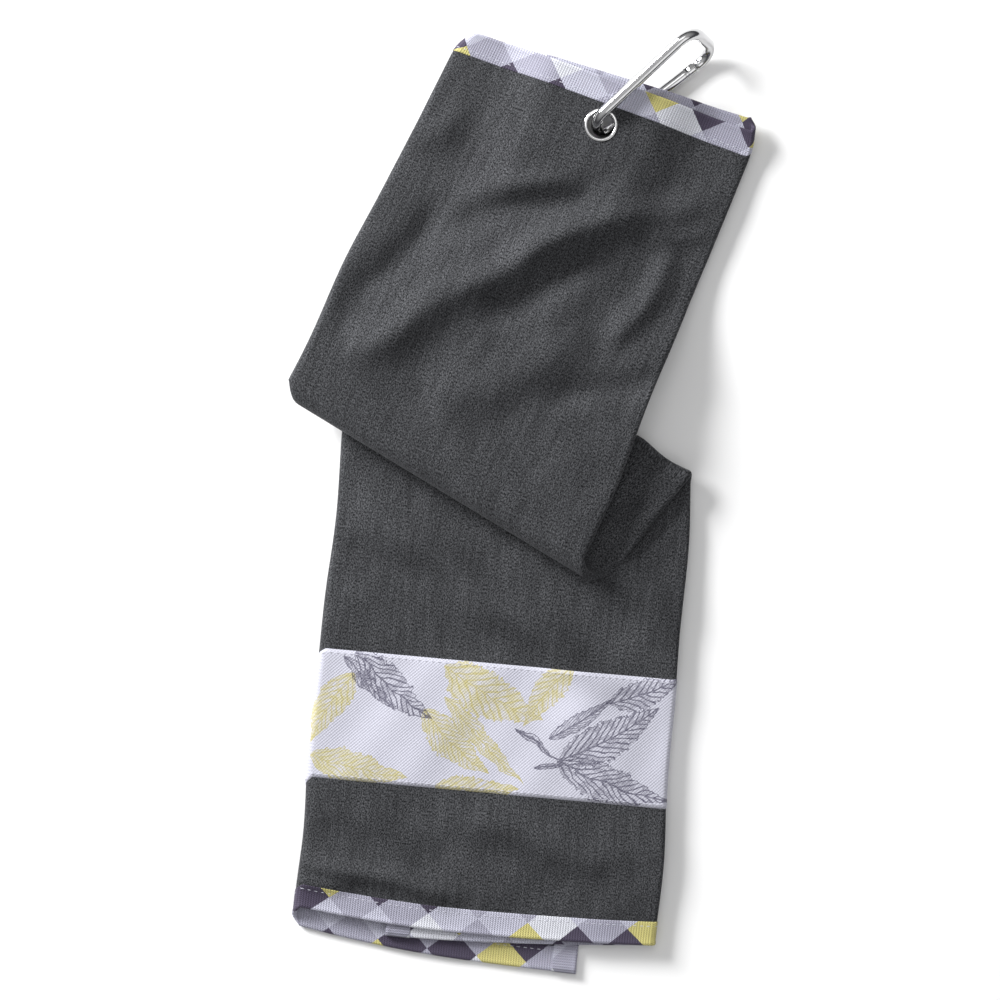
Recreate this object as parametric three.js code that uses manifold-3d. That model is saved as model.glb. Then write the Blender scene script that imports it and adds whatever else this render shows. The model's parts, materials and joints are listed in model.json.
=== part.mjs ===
// Golf towel: a velour cloth bound with woven tape, folded in three lengthwise, laid in a Z-fold,
// with a grommet through its top end and a spring-gate carabiner through the grommet.
// Millimetres, +Z up. The towel lies on z = 0; X runs across it and Y towards the carabiner.

import * as THREE from 'three';
import { mergeVertices } from 'three/addons/utils/BufferGeometryUtils.js';
import Module from 'manifold-3d';

const wasm = await Module();
wasm.setup();

// ---- Driving dimensions: the flat towel ----
const towelWidth = 406;
const towelLength = 483;
const halfCloth = 0.55;
const tapeWidth = 10.4;
const tapeInner = 0.65;
const tapeOuter = 0.9;
const tapeEdgeGap = 0.15;
const tapeEdgeThickness = 0.3;
const rollStart = 1.6;
const rollCrest = 0.9;
const rollOuter = 1.16;
const threadInset = 2.2;
const threadWidth = 0.6;
const threadInner = 0.96;
const threadOuter = 1.14;
const pieceGap = 0.3;
const bandTop = 362.5;
const bandBottom = 419.5;
const bandThreadInset = 1.6;

// ---- Driving dimensions: the trifold ----
const layerPitch = 2.5;
const leftBend = layerPitch;
const rightBend = layerPitch / 2;
const frontWidthTop = 136.6;
const frontWidthBottom = 158.6;
const frontTaper = 1.8;
const leftFlapPlanWidth = 125.6;
const flapTuck = 8;
const flapTuckAt = 243;
const flapTuckReach = 34;
const leftHemDrop = 8.8;
const rightHemRise = 5.5;
const flapSpread = 0.0456;
const topShear = -0.081;
const shearLength = 190;

// ---- Driving dimensions: the Z-fold ----
const lowerHeight = 2 * layerPitch + rollOuter;
const fold2Radius = 1.6;
const middleHeight = lowerHeight + 2 * fold2Radius;
const fold1Radius = 2 * layerPitch + 1.7;
const upperHeight = middleHeight + 2 * fold1Radius;
const topHemCentre = new THREE.Vector2(40.5, 184.8);
const upperAngle = THREE.MathUtils.degToRad(24.4);
const fold1Edge = new THREE.Vector2(-39.65, 8.15);
const fold1Slope = THREE.MathUtils.degToRad(31.2);
const fold1Slide = 11.2;
const fold2Edge = new THREE.Vector2(-1.15, 46.7);
const fold2Slope = THREE.MathUtils.degToRad(21.6);
const rampStart = 50;
const rampEnd = 128;
const tentLift = 7.2;
const tentFlat = 27;
const tentFoot = 45;
const tentNarrowing = 0.55;
const hemFlare = 2.4;
const flareLength = 10.9;

// ---- Driving dimensions: the grommet ----
const grommetX = 3.8;
const grommetS = 19.6;
const boreRadius = 5.8;
const barrelWall = 0.45;
const flangeRadius = 7.4;
const flangeThickness = 0.45;
const flangeGap = 0.1;
const clothHoleGap = 0.35;

// ---- Driving dimensions: the carabiner ----
const wireRadius = 2.5;
const smallEndRadius = 8.5;
const bigEndRadius = 8;
const bigEndX = 44;
const bigEndY = 17;
const spineAzimuth = THREE.MathUtils.degToRad(42.3);
const spineRise = THREE.MathUtils.degToRad(10);
const ringTilt = THREE.MathUtils.degToRad(62);
const wireInBoreAngle = THREE.MathUtils.degToRad(193);
const wireInBore = new THREE.Vector2(-1.5, -1.25);
const floorClearance = 0.25;
const tongueHalf = 0.8;
const slotHalf = 1.05;
const pivotInset = 6.2;
const noseInset = 4.6;
const pinRadius = 0.75;
const pinHoleRadius = 0.84;
const pinHalfLength = 2.3;

// ---- Colours ----
const charcoal = 0x3b3c3f;
const lavender = 0xb9b8c8;
const paleBand = 0xdcdce6;
const threadGrey = 0xd0d0d8;
const steel = 0xc8c9cc;

// The plan's middle is the origin, so that the towel stands over it.
const planMiddle = new THREE.Vector3(2.96, -0.54, 0);
const part = new THREE.Group();
part.position.copy(planMiddle).negate();

function material(color, roughness, metalness) {
  return new THREE.MeshStandardMaterial({ color, roughness, metalness });
}

function addMesh(name, geometry, finish, parent = part) {
  const mesh = new THREE.Mesh(geometry, finish);
  mesh.name = name;
  parent.add(mesh);
  return mesh;
}

// ---- Trifold: flat towel (u across, v along) to strip (x across, s along, n depth) ----

function frontWidth(v) {
  const remaining = 1 - THREE.MathUtils.clamp(v / towelLength, 0, 1);
  return frontWidthBottom - (frontWidthBottom - frontWidthTop) * remaining ** frontTaper;
}

function leftFlapWidth(v) {
  const tuck = flapTuck * Math.exp(-(((v - flapTuckAt) / flapTuckReach) ** 2));
  return leftFlapPlanWidth - leftBend + (frontWidthBottom - frontWidth(v)) / 2 - tuck;
}

function frontFlatWidth(v) {
  return frontWidth(v) - leftBend - rightBend;
}

function rightFlapStart(v) {
  return leftFlapWidth(v) + Math.PI * leftBend + frontFlatWidth(v) + Math.PI * rightBend;
}

// The offset is measured from the cloth's middle towards its printed side.
function stripPoint(u, v, offset) {
  const along = v / towelLength;
  const leftTangent = -frontWidth(v) / 2 + leftBend;
  const rightTangent = frontWidth(v) / 2 - rightBend;
  const pastLeftFlap = u - leftFlapWidth(v);
  const pastLeftBend = pastLeftFlap - Math.PI * leftBend;
  const pastFront = pastLeftBend - frontFlatWidth(v);
  const pastRightBend = pastFront - Math.PI * rightBend;
  let x;
  let n;
  let normal;
  let shift = 0;
  if (pastLeftFlap < 0) {
    x = leftTangent - pastLeftFlap;
    n = -2 * leftBend;
    normal = [0, -1];
    shift = (leftHemDrop - flapSpread * pastLeftFlap) * along;
  } else if (pastLeftBend < 0) {
    const angle = pastLeftFlap / leftBend;
    normal = [-Math.sin(angle), -Math.cos(angle)];
    x = leftTangent + leftBend * normal[0];
    n = -leftBend + leftBend * normal[1];
    shift = leftHemDrop * along * (1 - angle / Math.PI);
  } else if (pastFront < 0) {
    x = leftTangent + pastLeftBend;
    n = 0;
    normal = [0, 1];
  } else if (pastRightBend < 0) {
    const angle = pastFront / rightBend;
    normal = [Math.sin(angle), Math.cos(angle)];
    x = rightTangent + rightBend * normal[0];
    n = -rightBend + rightBend * normal[1];
    shift = -rightHemRise * (1 - along) * angle / Math.PI;
  } else {
    x = rightTangent - pastRightBend;
    n = -2 * rightBend;
    normal = [0, -1];
    shift = -rightHemRise * (1 - along) + flapSpread * pastRightBend;
  }
  shift += topShear * x * Math.max(0, 1 - v / shearLength);
  return { x: x + offset * normal[0], s: v + shift, n: n + offset * normal[1] };
}

// ---- Z-fold: strip to space ----

const upperDown = new THREE.Vector2(-Math.sin(upperAngle), -Math.cos(upperAngle));
const upperRight = new THREE.Vector2(Math.cos(upperAngle), -Math.sin(upperAngle));
const fold1Normal = new THREE.Vector2(-Math.sin(fold1Slope), -Math.cos(fold1Slope));
const fold2Normal = new THREE.Vector2(Math.sin(fold2Slope), Math.cos(fold2Slope));
const fold1Line = new THREE.Vector2(Math.cos(fold1Slope), -Math.sin(fold1Slope));
const fold1Start = fold1Edge.clone().addScaledVector(fold1Normal, -fold1Radius - halfCloth);
const fold2Start = fold2Edge.clone()
  .addScaledVector(fold2Normal, -fold2Radius - 2 * layerPitch - halfCloth);
const fold1Length = Math.PI * fold1Radius;
const fold2Length = Math.PI * fold2Radius;

function upperPlan(x, s) {
  return topHemCentre.clone().addScaledVector(upperRight, x).addScaledVector(upperDown, s);
}

function fold1Travel(plan) {
  return plan.clone().sub(fold1Start).dot(fold1Normal);
}

function middlePlan(plan) {
  const travel = fold1Travel(plan);
  return plan.clone()
    .addScaledVector(fold1Normal, fold1Length - 2 * travel)
    .addScaledVector(fold1Line, fold1Slide);
}

function fold2Travel(plan) {
  return plan.clone().sub(fold2Start).dot(fold2Normal);
}

function smooth(value) {
  const t = THREE.MathUtils.clamp(value, 0, 1);
  return t * t * (3 - 2 * t);
}

// The top end is a tent with a flat ridge, so that the carabiner's gate passes under it.
function narrowing(along) {
  return 1 - tentNarrowing * THREE.MathUtils.clamp(along / towelLength, 0, 1);
}

// The distance from the slanted top hem.
function fromTopHem(x, s) {
  return s - topShear * x * Math.max(0, 1 - s / shearLength);
}

function upperPanelHeight(x, s) {
  const reach = Math.abs(x) / narrowing(s);
  const tent = THREE.MathUtils.clamp((tentFoot - reach) / (tentFoot - tentFlat), 0, 1);
  const flare = hemFlare * Math.max(0, 1 - fromTopHem(x, s) / flareLength);
  const low = lowerHeight + tent * tentLift + flare;
  return low + (upperHeight - low) * smooth((s - rampStart) / (rampEnd - rampStart));
}

function spacePoint({ x, s, n }) {
  const upper = upperPlan(x, s);
  const travel1 = fold1Travel(upper);
  if (travel1 <= 0) {
    return new THREE.Vector3(upper.x, upper.y, upperPanelHeight(x, s) + n);
  }
  if (travel1 < fold1Length) {
    const angle = travel1 / fold1Radius;
    const radius = fold1Radius + n;
    const plan = upper.addScaledVector(fold1Normal, radius * Math.sin(angle) - travel1)
      .addScaledVector(fold1Line, fold1Slide * angle / Math.PI);
    const z = upperHeight - fold1Radius + radius * Math.cos(angle);
    return new THREE.Vector3(plan.x, plan.y, z);
  }
  const middle = middlePlan(upper);
  const travel2 = fold2Travel(middle);
  if (travel2 <= 0) {
    return new THREE.Vector3(middle.x, middle.y, middleHeight - n);
  }
  if (travel2 < fold2Length) {
    const angle = travel2 / fold2Radius;
    const radius = fold2Radius - n;
    const plan = middle.addScaledVector(fold2Normal, radius * Math.sin(angle) - travel2);
    const z = middleHeight - fold2Radius + radius * Math.cos(angle);
    return new THREE.Vector3(plan.x, plan.y, z);
  }
  const lower = middle.addScaledVector(fold2Normal, fold2Length - 2 * travel2);
  return new THREE.Vector3(lower.x, lower.y, lowerHeight + n);
}

function towelPoint(u, v, offset) {
  return spacePoint(stripPoint(u, v, offset));
}

// ---- Grid lines: columns are functions of v, rows are found along each column ----

function bendSteps(count) {
  return Array.from({ length: count + 1 }, (_, i) => i / count);
}

const sideSteps = 4;
const creases = [-tentFoot, -tentFlat, tentFlat, tentFoot];

function leftFlapU(x, v) {
  return leftFlapWidth(v) - frontWidth(v) / 2 + leftBend - x;
}

function frontU(x, v) {
  return leftFlapWidth(v) + Math.PI * leftBend + x + frontWidth(v) / 2 - leftBend;
}

function rightFlapU(x, v) {
  return rightFlapStart(v) + frontWidth(v) / 2 - rightBend - x;
}

// Every layer has a column at each crease of the tent, so that stacked layers stay parallel.
function creaseColumns(uAt, positions) {
  return positions.map((x) => (v) => uAt(x * narrowing(v), v));
}

const columns = [
  () => 0,
  () => tapeWidth,
  ...creaseColumns(leftFlapU, creases.toReversed()),
  ...bendSteps(sideSteps).map((f) => (v) => leftFlapWidth(v) + f * Math.PI * leftBend),
  ...creaseColumns(frontU, creases),
  ...bendSteps(sideSteps).map((f) => (v) => rightFlapStart(v) - (1 - f) * Math.PI * rightBend),
  ...creaseColumns(rightFlapU, creases.toReversed()),
  () => towelWidth - tapeWidth,
  () => towelWidth,
];

// Finds the v at which a steadily rising measure of the strip point reaches its target.
function solveRow(column, measure, target) {
  let low = 0;
  let high = towelLength;
  for (let step = 0; step < 40; step += 1) {
    const v = (low + high) / 2;
    const point = stripPoint(column(v), v, 0);
    if (measure(point) < target) {
      low = v;
    } else {
      high = v;
    }
  }
  return (low + high) / 2;
}

function rowAtV(value) {
  return () => value;
}

function rowAtS(target) {
  return (column) => solveRow(column, (point) => point.s, target);
}

function rowAtHem(target) {
  return (column) => solveRow(column, (point) => fromTopHem(point.x, point.s), target);
}

function rowAtFold1(target) {
  return (column) => solveRow(column, (point) => fold1Travel(upperPlan(point.x, point.s)), target);
}

function rowAtFold2(target) {
  const measure = (point) => fold2Travel(middlePlan(upperPlan(point.x, point.s)));
  return (column) => solveRow(column, measure, target);
}

const foldSteps = 6;
const rampSteps = 5;
const rows = [
  rowAtV(0),
  rowAtV(tapeWidth),
  rowAtHem(flareLength),
  ...bendSteps(rampSteps).map((f) => rowAtS(rampStart + f * (rampEnd - rampStart))),
  ...bendSteps(foldSteps).map((f) => rowAtFold1(f * fold1Length)),
  ...bendSteps(foldSteps).map((f) => rowAtFold2(f * fold2Length)),
  rowAtV(bandTop),
  rowAtV(bandBottom),
  rowAtV(towelLength - tapeWidth),
  rowAtV(towelLength),
];

// ---- Solids from pairs of facing sheets ----

// A closed solid between two grids of points with the same rows and columns.
function solidBetween(topGrid, bottomGrid) {
  const rowCount = topGrid.length;
  const columnCount = topGrid[0].length;
  const points = [...topGrid.flat(), ...bottomGrid.flat()];
  const top = (j, i) => j * columnCount + i;
  const bottom = (j, i) => top(j, i) + rowCount * columnCount;
  const index = [];
  const quad = (a, b, c, d) => index.push(a, b, c, a, c, d);
  for (let j = 0; j < rowCount - 1; j += 1) {
    for (let i = 0; i < columnCount - 1; i += 1) {
      quad(top(j, i), top(j, i + 1), top(j + 1, i + 1), top(j + 1, i));
      quad(bottom(j, i), bottom(j + 1, i), bottom(j + 1, i + 1), bottom(j, i + 1));
    }
    const last = columnCount - 1;
    quad(top(j, 0), top(j + 1, 0), bottom(j + 1, 0), bottom(j, 0));
    quad(top(j, last), bottom(j, last), bottom(j + 1, last), top(j + 1, last));
  }
  for (let i = 0; i < columnCount - 1; i += 1) {
    const last = rowCount - 1;
    quad(top(0, i), bottom(0, i), bottom(0, i + 1), top(0, i + 1));
    quad(top(last, i), top(last, i + 1), bottom(last, i + 1), bottom(last, i));
  }
  const geometry = new THREE.BufferGeometry().setFromPoints(points);
  geometry.setIndex(index);
  return facingOut(geometry);
}

function signedVolume(geometry) {
  const position = geometry.getAttribute('position');
  const corner = [0, 1, 2].map(() => new THREE.Vector3());
  let volume = 0;
  for (let i = 0; i < geometry.index.count; i += 3) {
    corner.forEach((point, k) => point.fromBufferAttribute(position, geometry.index.getX(i + k)));
    volume += corner[0].dot(corner[1].clone().cross(corner[2])) / 6;
  }
  return volume;
}

function facingOut(geometry) {
  if (signedVolume(geometry) < 0) {
    const index = geometry.index;
    for (let i = 0; i < index.count; i += 3) {
      const second = index.getX(i + 1);
      index.setX(i + 1, index.getX(i + 2));
      index.setX(i + 2, second);
    }
  }
  return geometry;
}

function toManifold(geometry) {
  const bare = geometry.clone();
  bare.deleteAttribute('normal');
  bare.deleteAttribute('uv');
  const merged = mergeVertices(bare, 1e-4);
  const vertProperties = new Float32Array(merged.getAttribute('position').array);
  const triVerts = new Uint32Array(merged.index.array);
  return new wasm.Manifold(new wasm.Mesh({ numProp: 3, vertProperties, triVerts }));
}

function toGeometry(solid) {
  const mesh = solid.getMesh();
  const geometry = new THREE.BufferGeometry();
  geometry.setAttribute('position', new THREE.BufferAttribute(mesh.vertProperties, 3));
  geometry.setIndex(new THREE.BufferAttribute(mesh.triVerts, 1));
  return geometry;
}

function sheetGrid(rowList, columnList, offset) {
  return rowList.map((row) => columnList.map((column) => {
    const v = row(column);
    return towelPoint(column(v), v, offset);
  }));
}

// ---- Cloth ----

const sheetSolid = solidBetween(
  sheetGrid(rows, columns, halfCloth),
  sheetGrid(rows, columns, -halfCloth),
);
const frontAtHole = upperPanelHeight(grommetX, grommetS);
const grommetPlan = upperPlan(grommetX, grommetS);
const holeCutter = new THREE.CylinderGeometry(
  boreRadius + barrelWall + clothHoleGap,
  boreRadius + barrelWall + clothHoleGap,
  upperHeight,
  24,
);
holeCutter.rotateX(Math.PI / 2);
holeCutter.translate(grommetPlan.x, grommetPlan.y, frontAtHole);
const clothSolid = toManifold(sheetSolid).subtract(toManifold(holeCutter));
addMesh('towel_cloth', toGeometry(clothSolid), material(charcoal, 0.95, 0));

// ---- Bindings: a U of tape over each edge ----

// Distance in from the bound edge and offset from the cloth's middle, outside face then inside face.
// The tape swells where it turns over the edge, and the towel rests on that rolled edge.
function mirrored(half) {
  return [...half, ...half.map(([inset, offset]) => [inset, -offset]).reverse()];
}

function tapeSection(reach) {
  return {
    outer: mirrored([
      [reach, tapeOuter],
      [rollStart, tapeOuter],
      [rollCrest, rollOuter],
      [0, rollOuter],
      [-tapeEdgeGap - tapeEdgeThickness, rollOuter - tapeEdgeThickness],
    ]),
    inner: mirrored([
      [reach, tapeInner],
      [rollStart, tapeInner],
      [rollCrest, tapeInner],
      [0, tapeInner],
      [-tapeEdgeGap, tapeInner - tapeEdgeGap],
    ]),
  };
}

// Points on a binding lie on the straight line from the bound edge to the tape's inner edge.
function acrossTape(edgePoint, innerPoint, inset) {
  return edgePoint.clone().lerp(innerPoint, inset / tapeWidth);
}

const hemColumns = columns.slice(1, -1);

function hemStrip(section, vOf) {
  return hemColumns.map((column) => section.map(([inset, offset]) => acrossTape(
    towelPoint(column(vOf(0)), vOf(0), offset),
    towelPoint(column(vOf(tapeWidth)), vOf(tapeWidth), offset),
    inset,
  )));
}

function sideStrip(section, uOf) {
  return rows.map((row) => section.map(([inset, offset]) => acrossTape(
    towelPoint(uOf(0), row(() => uOf(0)), offset),
    towelPoint(uOf(tapeWidth), row(() => uOf(tapeWidth)), offset),
    inset,
  )));
}

const fromTop = (inset) => inset;
const fromBottom = (inset) => towelLength - inset;
const fromLeft = (inset) => inset;
const fromRight = (inset) => towelWidth - inset;
const tapeFinish = material(lavender, 0.8, 0);
const threadFinish = material(threadGrey, 0.6, 0);

function threadFace(offset) {
  const start = tapeWidth - threadInset - threadWidth / 2;
  return [[start, offset], [start + threadWidth, offset]];
}

function addBinding(name, strip, edgeOf, reach) {
  const { outer, inner } = tapeSection(reach);
  addMesh(`${name}_binding`, solidBetween(strip(outer, edgeOf), strip(inner, edgeOf)), tapeFinish);
  [['needle', 1], ['bobbin', -1]].forEach(([side, sign]) => {
    const top = strip(threadFace(sign * threadOuter), edgeOf);
    const bottom = strip(threadFace(sign * threadInner), edgeOf);
    addMesh(`${name}_binding_${side}_thread`, solidBetween(top, bottom), threadFinish);
  });
}

addBinding('top', hemStrip, fromTop, tapeWidth);
addBinding('bottom', hemStrip, fromBottom, tapeWidth);
addBinding('left', sideStrip, fromLeft, tapeWidth - pieceGap);
addBinding('right', sideStrip, fromRight, tapeWidth - pieceGap);

// ---- Printed band ----

function bandSolid(vTop, vBottom, outer, inner) {
  const bandRows = [rowAtV(vTop), rowAtV(vBottom)];
  return solidBetween(
    sheetGrid(bandRows, hemColumns, outer),
    sheetGrid(bandRows, hemColumns, inner),
  );
}

addMesh('printed_band', bandSolid(bandTop, bandBottom, tapeOuter, tapeInner), material(paleBand, 0.85, 0));

[['upper', bandTop + bandThreadInset], ['lower', bandBottom - bandThreadInset]].forEach(([name, v]) => {
  const from = v - threadWidth / 2;
  const to = v + threadWidth / 2;
  addMesh(`band_${name}_needle_thread`, bandSolid(from, to, threadOuter, threadInner), threadFinish);
  addMesh(`band_${name}_bobbin_thread`, bandSolid(from, to, -tapeOuter, -tapeInner), threadFinish);
});

// ---- Grommet: an eyelet rolled over a washer at the back ----

const steelFinish = material(steel, 0.2, 1);
const grommet = new THREE.Group();
grommet.position.set(grommetPlan.x, grommetPlan.y, frontAtHole);
part.add(grommet);

function lathe(profile, segments = 36) {
  const points = profile.map(([radius, z]) => new THREE.Vector2(radius, z));
  points.push(points[0].clone());
  const geometry = new THREE.LatheGeometry(points, segments);
  geometry.rotateX(Math.PI / 2);
  return facingOut(mergeVertices(bareCopy(geometry), 1e-4));
}

function bareCopy(geometry) {
  const copy = geometry.clone();
  copy.deleteAttribute('normal');
  copy.deleteAttribute('uv');
  return copy;
}

const flangeBase = halfCloth + flangeGap;
const backFace = -2 * layerPitch - halfCloth - flangeGap;
const washerBack = backFace - flangeThickness;
const rollTop = washerBack - flangeGap;
const rollBottom = rollTop - flangeThickness;
const barrelRadius = boreRadius + barrelWall;
const rollRadius = barrelRadius + 0.95;

addMesh('grommet_eyelet', lathe([
  [boreRadius, rollBottom + 0.25],
  [boreRadius, flangeBase + 0.2],
  [boreRadius + 0.3, flangeBase + flangeThickness],
  [flangeRadius - 0.5, flangeBase + flangeThickness],
  [flangeRadius, flangeBase + 0.2],
  [flangeRadius, flangeBase],
  [barrelRadius, flangeBase],
  [barrelRadius, rollTop],
  [rollRadius, rollTop],
  [rollRadius, rollBottom + 0.2],
  [rollRadius - 0.3, rollBottom],
  [boreRadius + 0.25, rollBottom],
]), steelFinish, grommet);

addMesh('grommet_washer', lathe([
  [barrelRadius + 0.1, backFace],
  [barrelRadius + 0.1, washerBack],
  [flangeRadius + 0.2, washerBack],
  [flangeRadius + 0.4, washerBack + 0.2],
  [flangeRadius + 0.4, backFace],
]), steelFinish, grommet);

// ---- Carabiner: its own plane has x along the spine and y towards the gate ----

const gateAngle = Math.atan2(bigEndY + bigEndRadius - 2 * smallEndRadius, bigEndX);
const gateAlong = new THREE.Vector2(Math.cos(gateAngle), Math.sin(gateAngle));
const gateOut = new THREE.Vector2(-gateAlong.y, gateAlong.x);
const smallCentre = new THREE.Vector2(0, smallEndRadius);
const bigCentre = new THREE.Vector2(bigEndX, bigEndY);
const gateFoot = smallCentre.clone().addScaledVector(gateOut, smallEndRadius);
const gateHead = bigCentre.clone().addScaledVector(gateOut, bigEndRadius);
const pivot = gateFoot.clone().addScaledVector(gateAlong, pivotInset);
const nose = gateHead.clone().addScaledVector(gateAlong, -noseInset);

// Plane to space: the spine rises towards the big end and the ring leans over towards its gate.
const spineAxis = new THREE.Vector3(
  Math.cos(spineAzimuth) * Math.cos(spineRise),
  Math.sin(spineAzimuth) * Math.cos(spineRise),
  Math.sin(spineRise),
);
const sideways = new THREE.Vector3(Math.sin(spineAzimuth), -Math.cos(spineAzimuth), 0);
const ringUp = new THREE.Vector3().crossVectors(sideways, spineAxis);
const gateAxis = sideways.clone().multiplyScalar(Math.cos(ringTilt))
  .addScaledVector(ringUp, -Math.sin(ringTilt));
const ringNormal = new THREE.Vector3().crossVectors(spineAxis, gateAxis);
const ringMatrix = new THREE.Matrix4().makeBasis(spineAxis, gateAxis, ringNormal);

// The wire's lowest run lies just above the floor, and the small end passes through the bore.
function onRing(x, y) {
  return new THREE.Vector3(x, y, 0).applyMatrix4(ringMatrix);
}

const boreWire = onRing(
  smallEndRadius * Math.cos(wireInBoreAngle),
  smallEndRadius * (1 + Math.sin(wireInBoreAngle)),
);
const lowest = Math.min(onRing(gateFoot.x, gateFoot.y).z, onRing(gateHead.x, gateHead.y).z);
const ring = new THREE.Group();
ring.quaternion.setFromRotationMatrix(ringMatrix);
ring.position.set(
  grommetPlan.x + wireInBore.x - boreWire.x,
  grommetPlan.y + wireInBore.y - boreWire.y,
  wireRadius + floorClearance - lowest,
);
part.add(ring);

class PlaneCurve extends THREE.Curve {
  constructor(path) {
    super();
    this.path = path;
  }

  getPoint(t, target = new THREE.Vector3()) {
    const point = this.path.getPointAt(t);
    return target.set(point.x, point.y, 0);
  }
}

function circleShape(radius, sides) {
  const points = Array.from({ length: sides }, (_, i) => {
    const angle = (2 * Math.PI * i) / sides;
    return new THREE.Vector2(radius * Math.cos(angle), radius * Math.sin(angle));
  });
  return new THREE.Shape(points);
}

function tube(curve, radius, sides, steps) {
  return new THREE.ExtrudeGeometry(circleShape(radius, sides), { extrudePath: curve, steps });
}

function rod(from, to, radius, sides = 16) {
  const line = new THREE.LineCurve3(
    new THREE.Vector3(from.x, from.y, from.z ?? 0),
    new THREE.Vector3(to.x, to.y, to.z ?? 0),
  );
  return toManifold(tube(line, radius, sides, 1));
}

function crossRod(centre, radius, halfLength, sides = 16) {
  return rod(
    new THREE.Vector3(centre.x, centre.y, -halfLength),
    new THREE.Vector3(centre.x, centre.y, halfLength),
    radius,
    sides,
  );
}

function gateBox(from, to, halfWidth, halfThickness) {
  const length = from.distanceTo(to);
  const geometry = new THREE.BoxGeometry(length, 2 * halfWidth, 2 * halfThickness);
  geometry.rotateZ(gateAngle);
  const middle = from.clone().add(to).multiplyScalar(0.5);
  geometry.translate(middle.x, middle.y, 0);
  return toManifold(geometry);
}

function ball(centre, radius) {
  const geometry = new THREE.SphereGeometry(radius, 16, 10);
  geometry.translate(centre.x, centre.y, 0);
  return toManifold(geometry);
}

function alongGate(from, distance) {
  return from.clone().addScaledVector(gateAlong, distance);
}

const shoulderGap = 0.5;
const bodyStart = alongGate(pivot, -wireRadius - shoulderGap);
const gateTip = alongGate(nose, 2.2);
const bodyEnd = alongGate(gateTip, 0.4);
const wirePath = new THREE.Path();
wirePath.moveTo(bodyStart.x, bodyStart.y);
wirePath.lineTo(gateFoot.x, gateFoot.y);
wirePath.absarc(smallCentre.x, smallCentre.y, smallEndRadius, Math.PI / 2 + gateAngle, Math.PI * 1.5);
wirePath.lineTo(bigEndX, 0);
wirePath.absarc(bigEndX, bigEndRadius, bigEndRadius, -Math.PI / 2, 0);
wirePath.absarc(bigCentre.x, bigCentre.y, bigEndRadius, 0, Math.PI / 2 + gateAngle);
wirePath.lineTo(bodyEnd.x, bodyEnd.y);

const tongueReach = 2;
const tongueHalfHeight = 1.9;
const pivotTongue = gateBox(alongGate(bodyStart, -1), pivot, tongueHalfHeight, tongueHalf)
  .add(crossRod(pivot, tongueHalfHeight, tongueHalf))
  .subtract(crossRod(pivot, pinHoleRadius, wireRadius));
const noseTongue = gateBox(alongGate(nose, -tongueReach), alongGate(bodyEnd, 1), tongueHalfHeight, tongueHalf);
const noseNotch = gateBox(alongGate(nose, -1.05), alongGate(nose, 1.05), 4, wireRadius)
  .subtract(gateBox(alongGate(nose, -2), alongGate(nose, 2), 4, 2 * wireRadius)
    .translate(gateOut.x * 4.95, gateOut.y * 4.95, 0));
const bodySolid = toManifold(tube(new PlaneCurve(wirePath), wireRadius, 16, 72))
  .add(pivotTongue)
  .add(noseTongue.subtract(noseNotch));
addMesh('carabiner_body', toGeometry(bodySolid), steelFinish, ring);

// ---- Gate with its pins, spring and plunger ----

const slotDepth = 5;
const boreDepth = 15;
const springBore = 1.35;
const pivotSlot = gateBox(alongGate(pivot, -4), alongGate(pivot, slotDepth), 4, slotHalf);
const noseSlot = gateBox(alongGate(nose, -tongueReach - 1), alongGate(gateTip, 2), 4, slotHalf);
const gateSolid = rod(pivot, gateTip, wireRadius)
  .add(ball(pivot, wireRadius))
  .subtract(pivotSlot)
  .subtract(noseSlot)
  .subtract(rod(alongGate(pivot, slotDepth - 1), alongGate(pivot, boreDepth), springBore, 12))
  .subtract(crossRod(pivot, pinHoleRadius, 2 * wireRadius))
  .subtract(crossRod(nose, pinHoleRadius, 2 * wireRadius));
addMesh('carabiner_gate', toGeometry(gateSolid), steelFinish, ring);
addMesh('gate_pivot_pin', toGeometry(crossRod(pivot, pinRadius, pinHalfLength)), steelFinish, ring);
addMesh('gate_latch_pin', toGeometry(crossRod(nose, pinRadius, pinHalfLength)), steelFinish, ring);

const plungerRadius = 0.95;
const plungerStart = alongGate(pivot, tongueHalfHeight + 0.4);
const plungerEnd = alongGate(plungerStart, 4.5);
addMesh('gate_plunger', toGeometry(rod(plungerStart, plungerEnd, plungerRadius, 12)), steelFinish, ring);

class Helix extends THREE.Curve {
  constructor(start, end, radius, turns) {
    super();
    Object.assign(this, { start, end, radius, turns });
  }

  getPoint(t, target = new THREE.Vector3()) {
    const angle = 2 * Math.PI * this.turns * t;
    const centre = this.start.clone().lerp(this.end, t);
    centre.addScaledVector(gateOut, this.radius * Math.cos(angle));
    return target.set(centre.x, centre.y, this.radius * Math.sin(angle));
  }
}

const springWire = 0.2;
const springCoil = new Helix(
  alongGate(plungerEnd, pieceGap + springWire),
  alongGate(pivot, boreDepth - pieceGap - springWire),
  springBore - springWire - 0.15,
  7,
);
addMesh('gate_spring', tube(springCoil, springWire, 5, 70), steelFinish, ring);

export default part;
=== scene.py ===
"""Golf towel: the looks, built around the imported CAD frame. Metres, +Z up."""

import json
import math

import bmesh
import bpy
import numpy as np
from mathutils import Matrix, Vector


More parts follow.
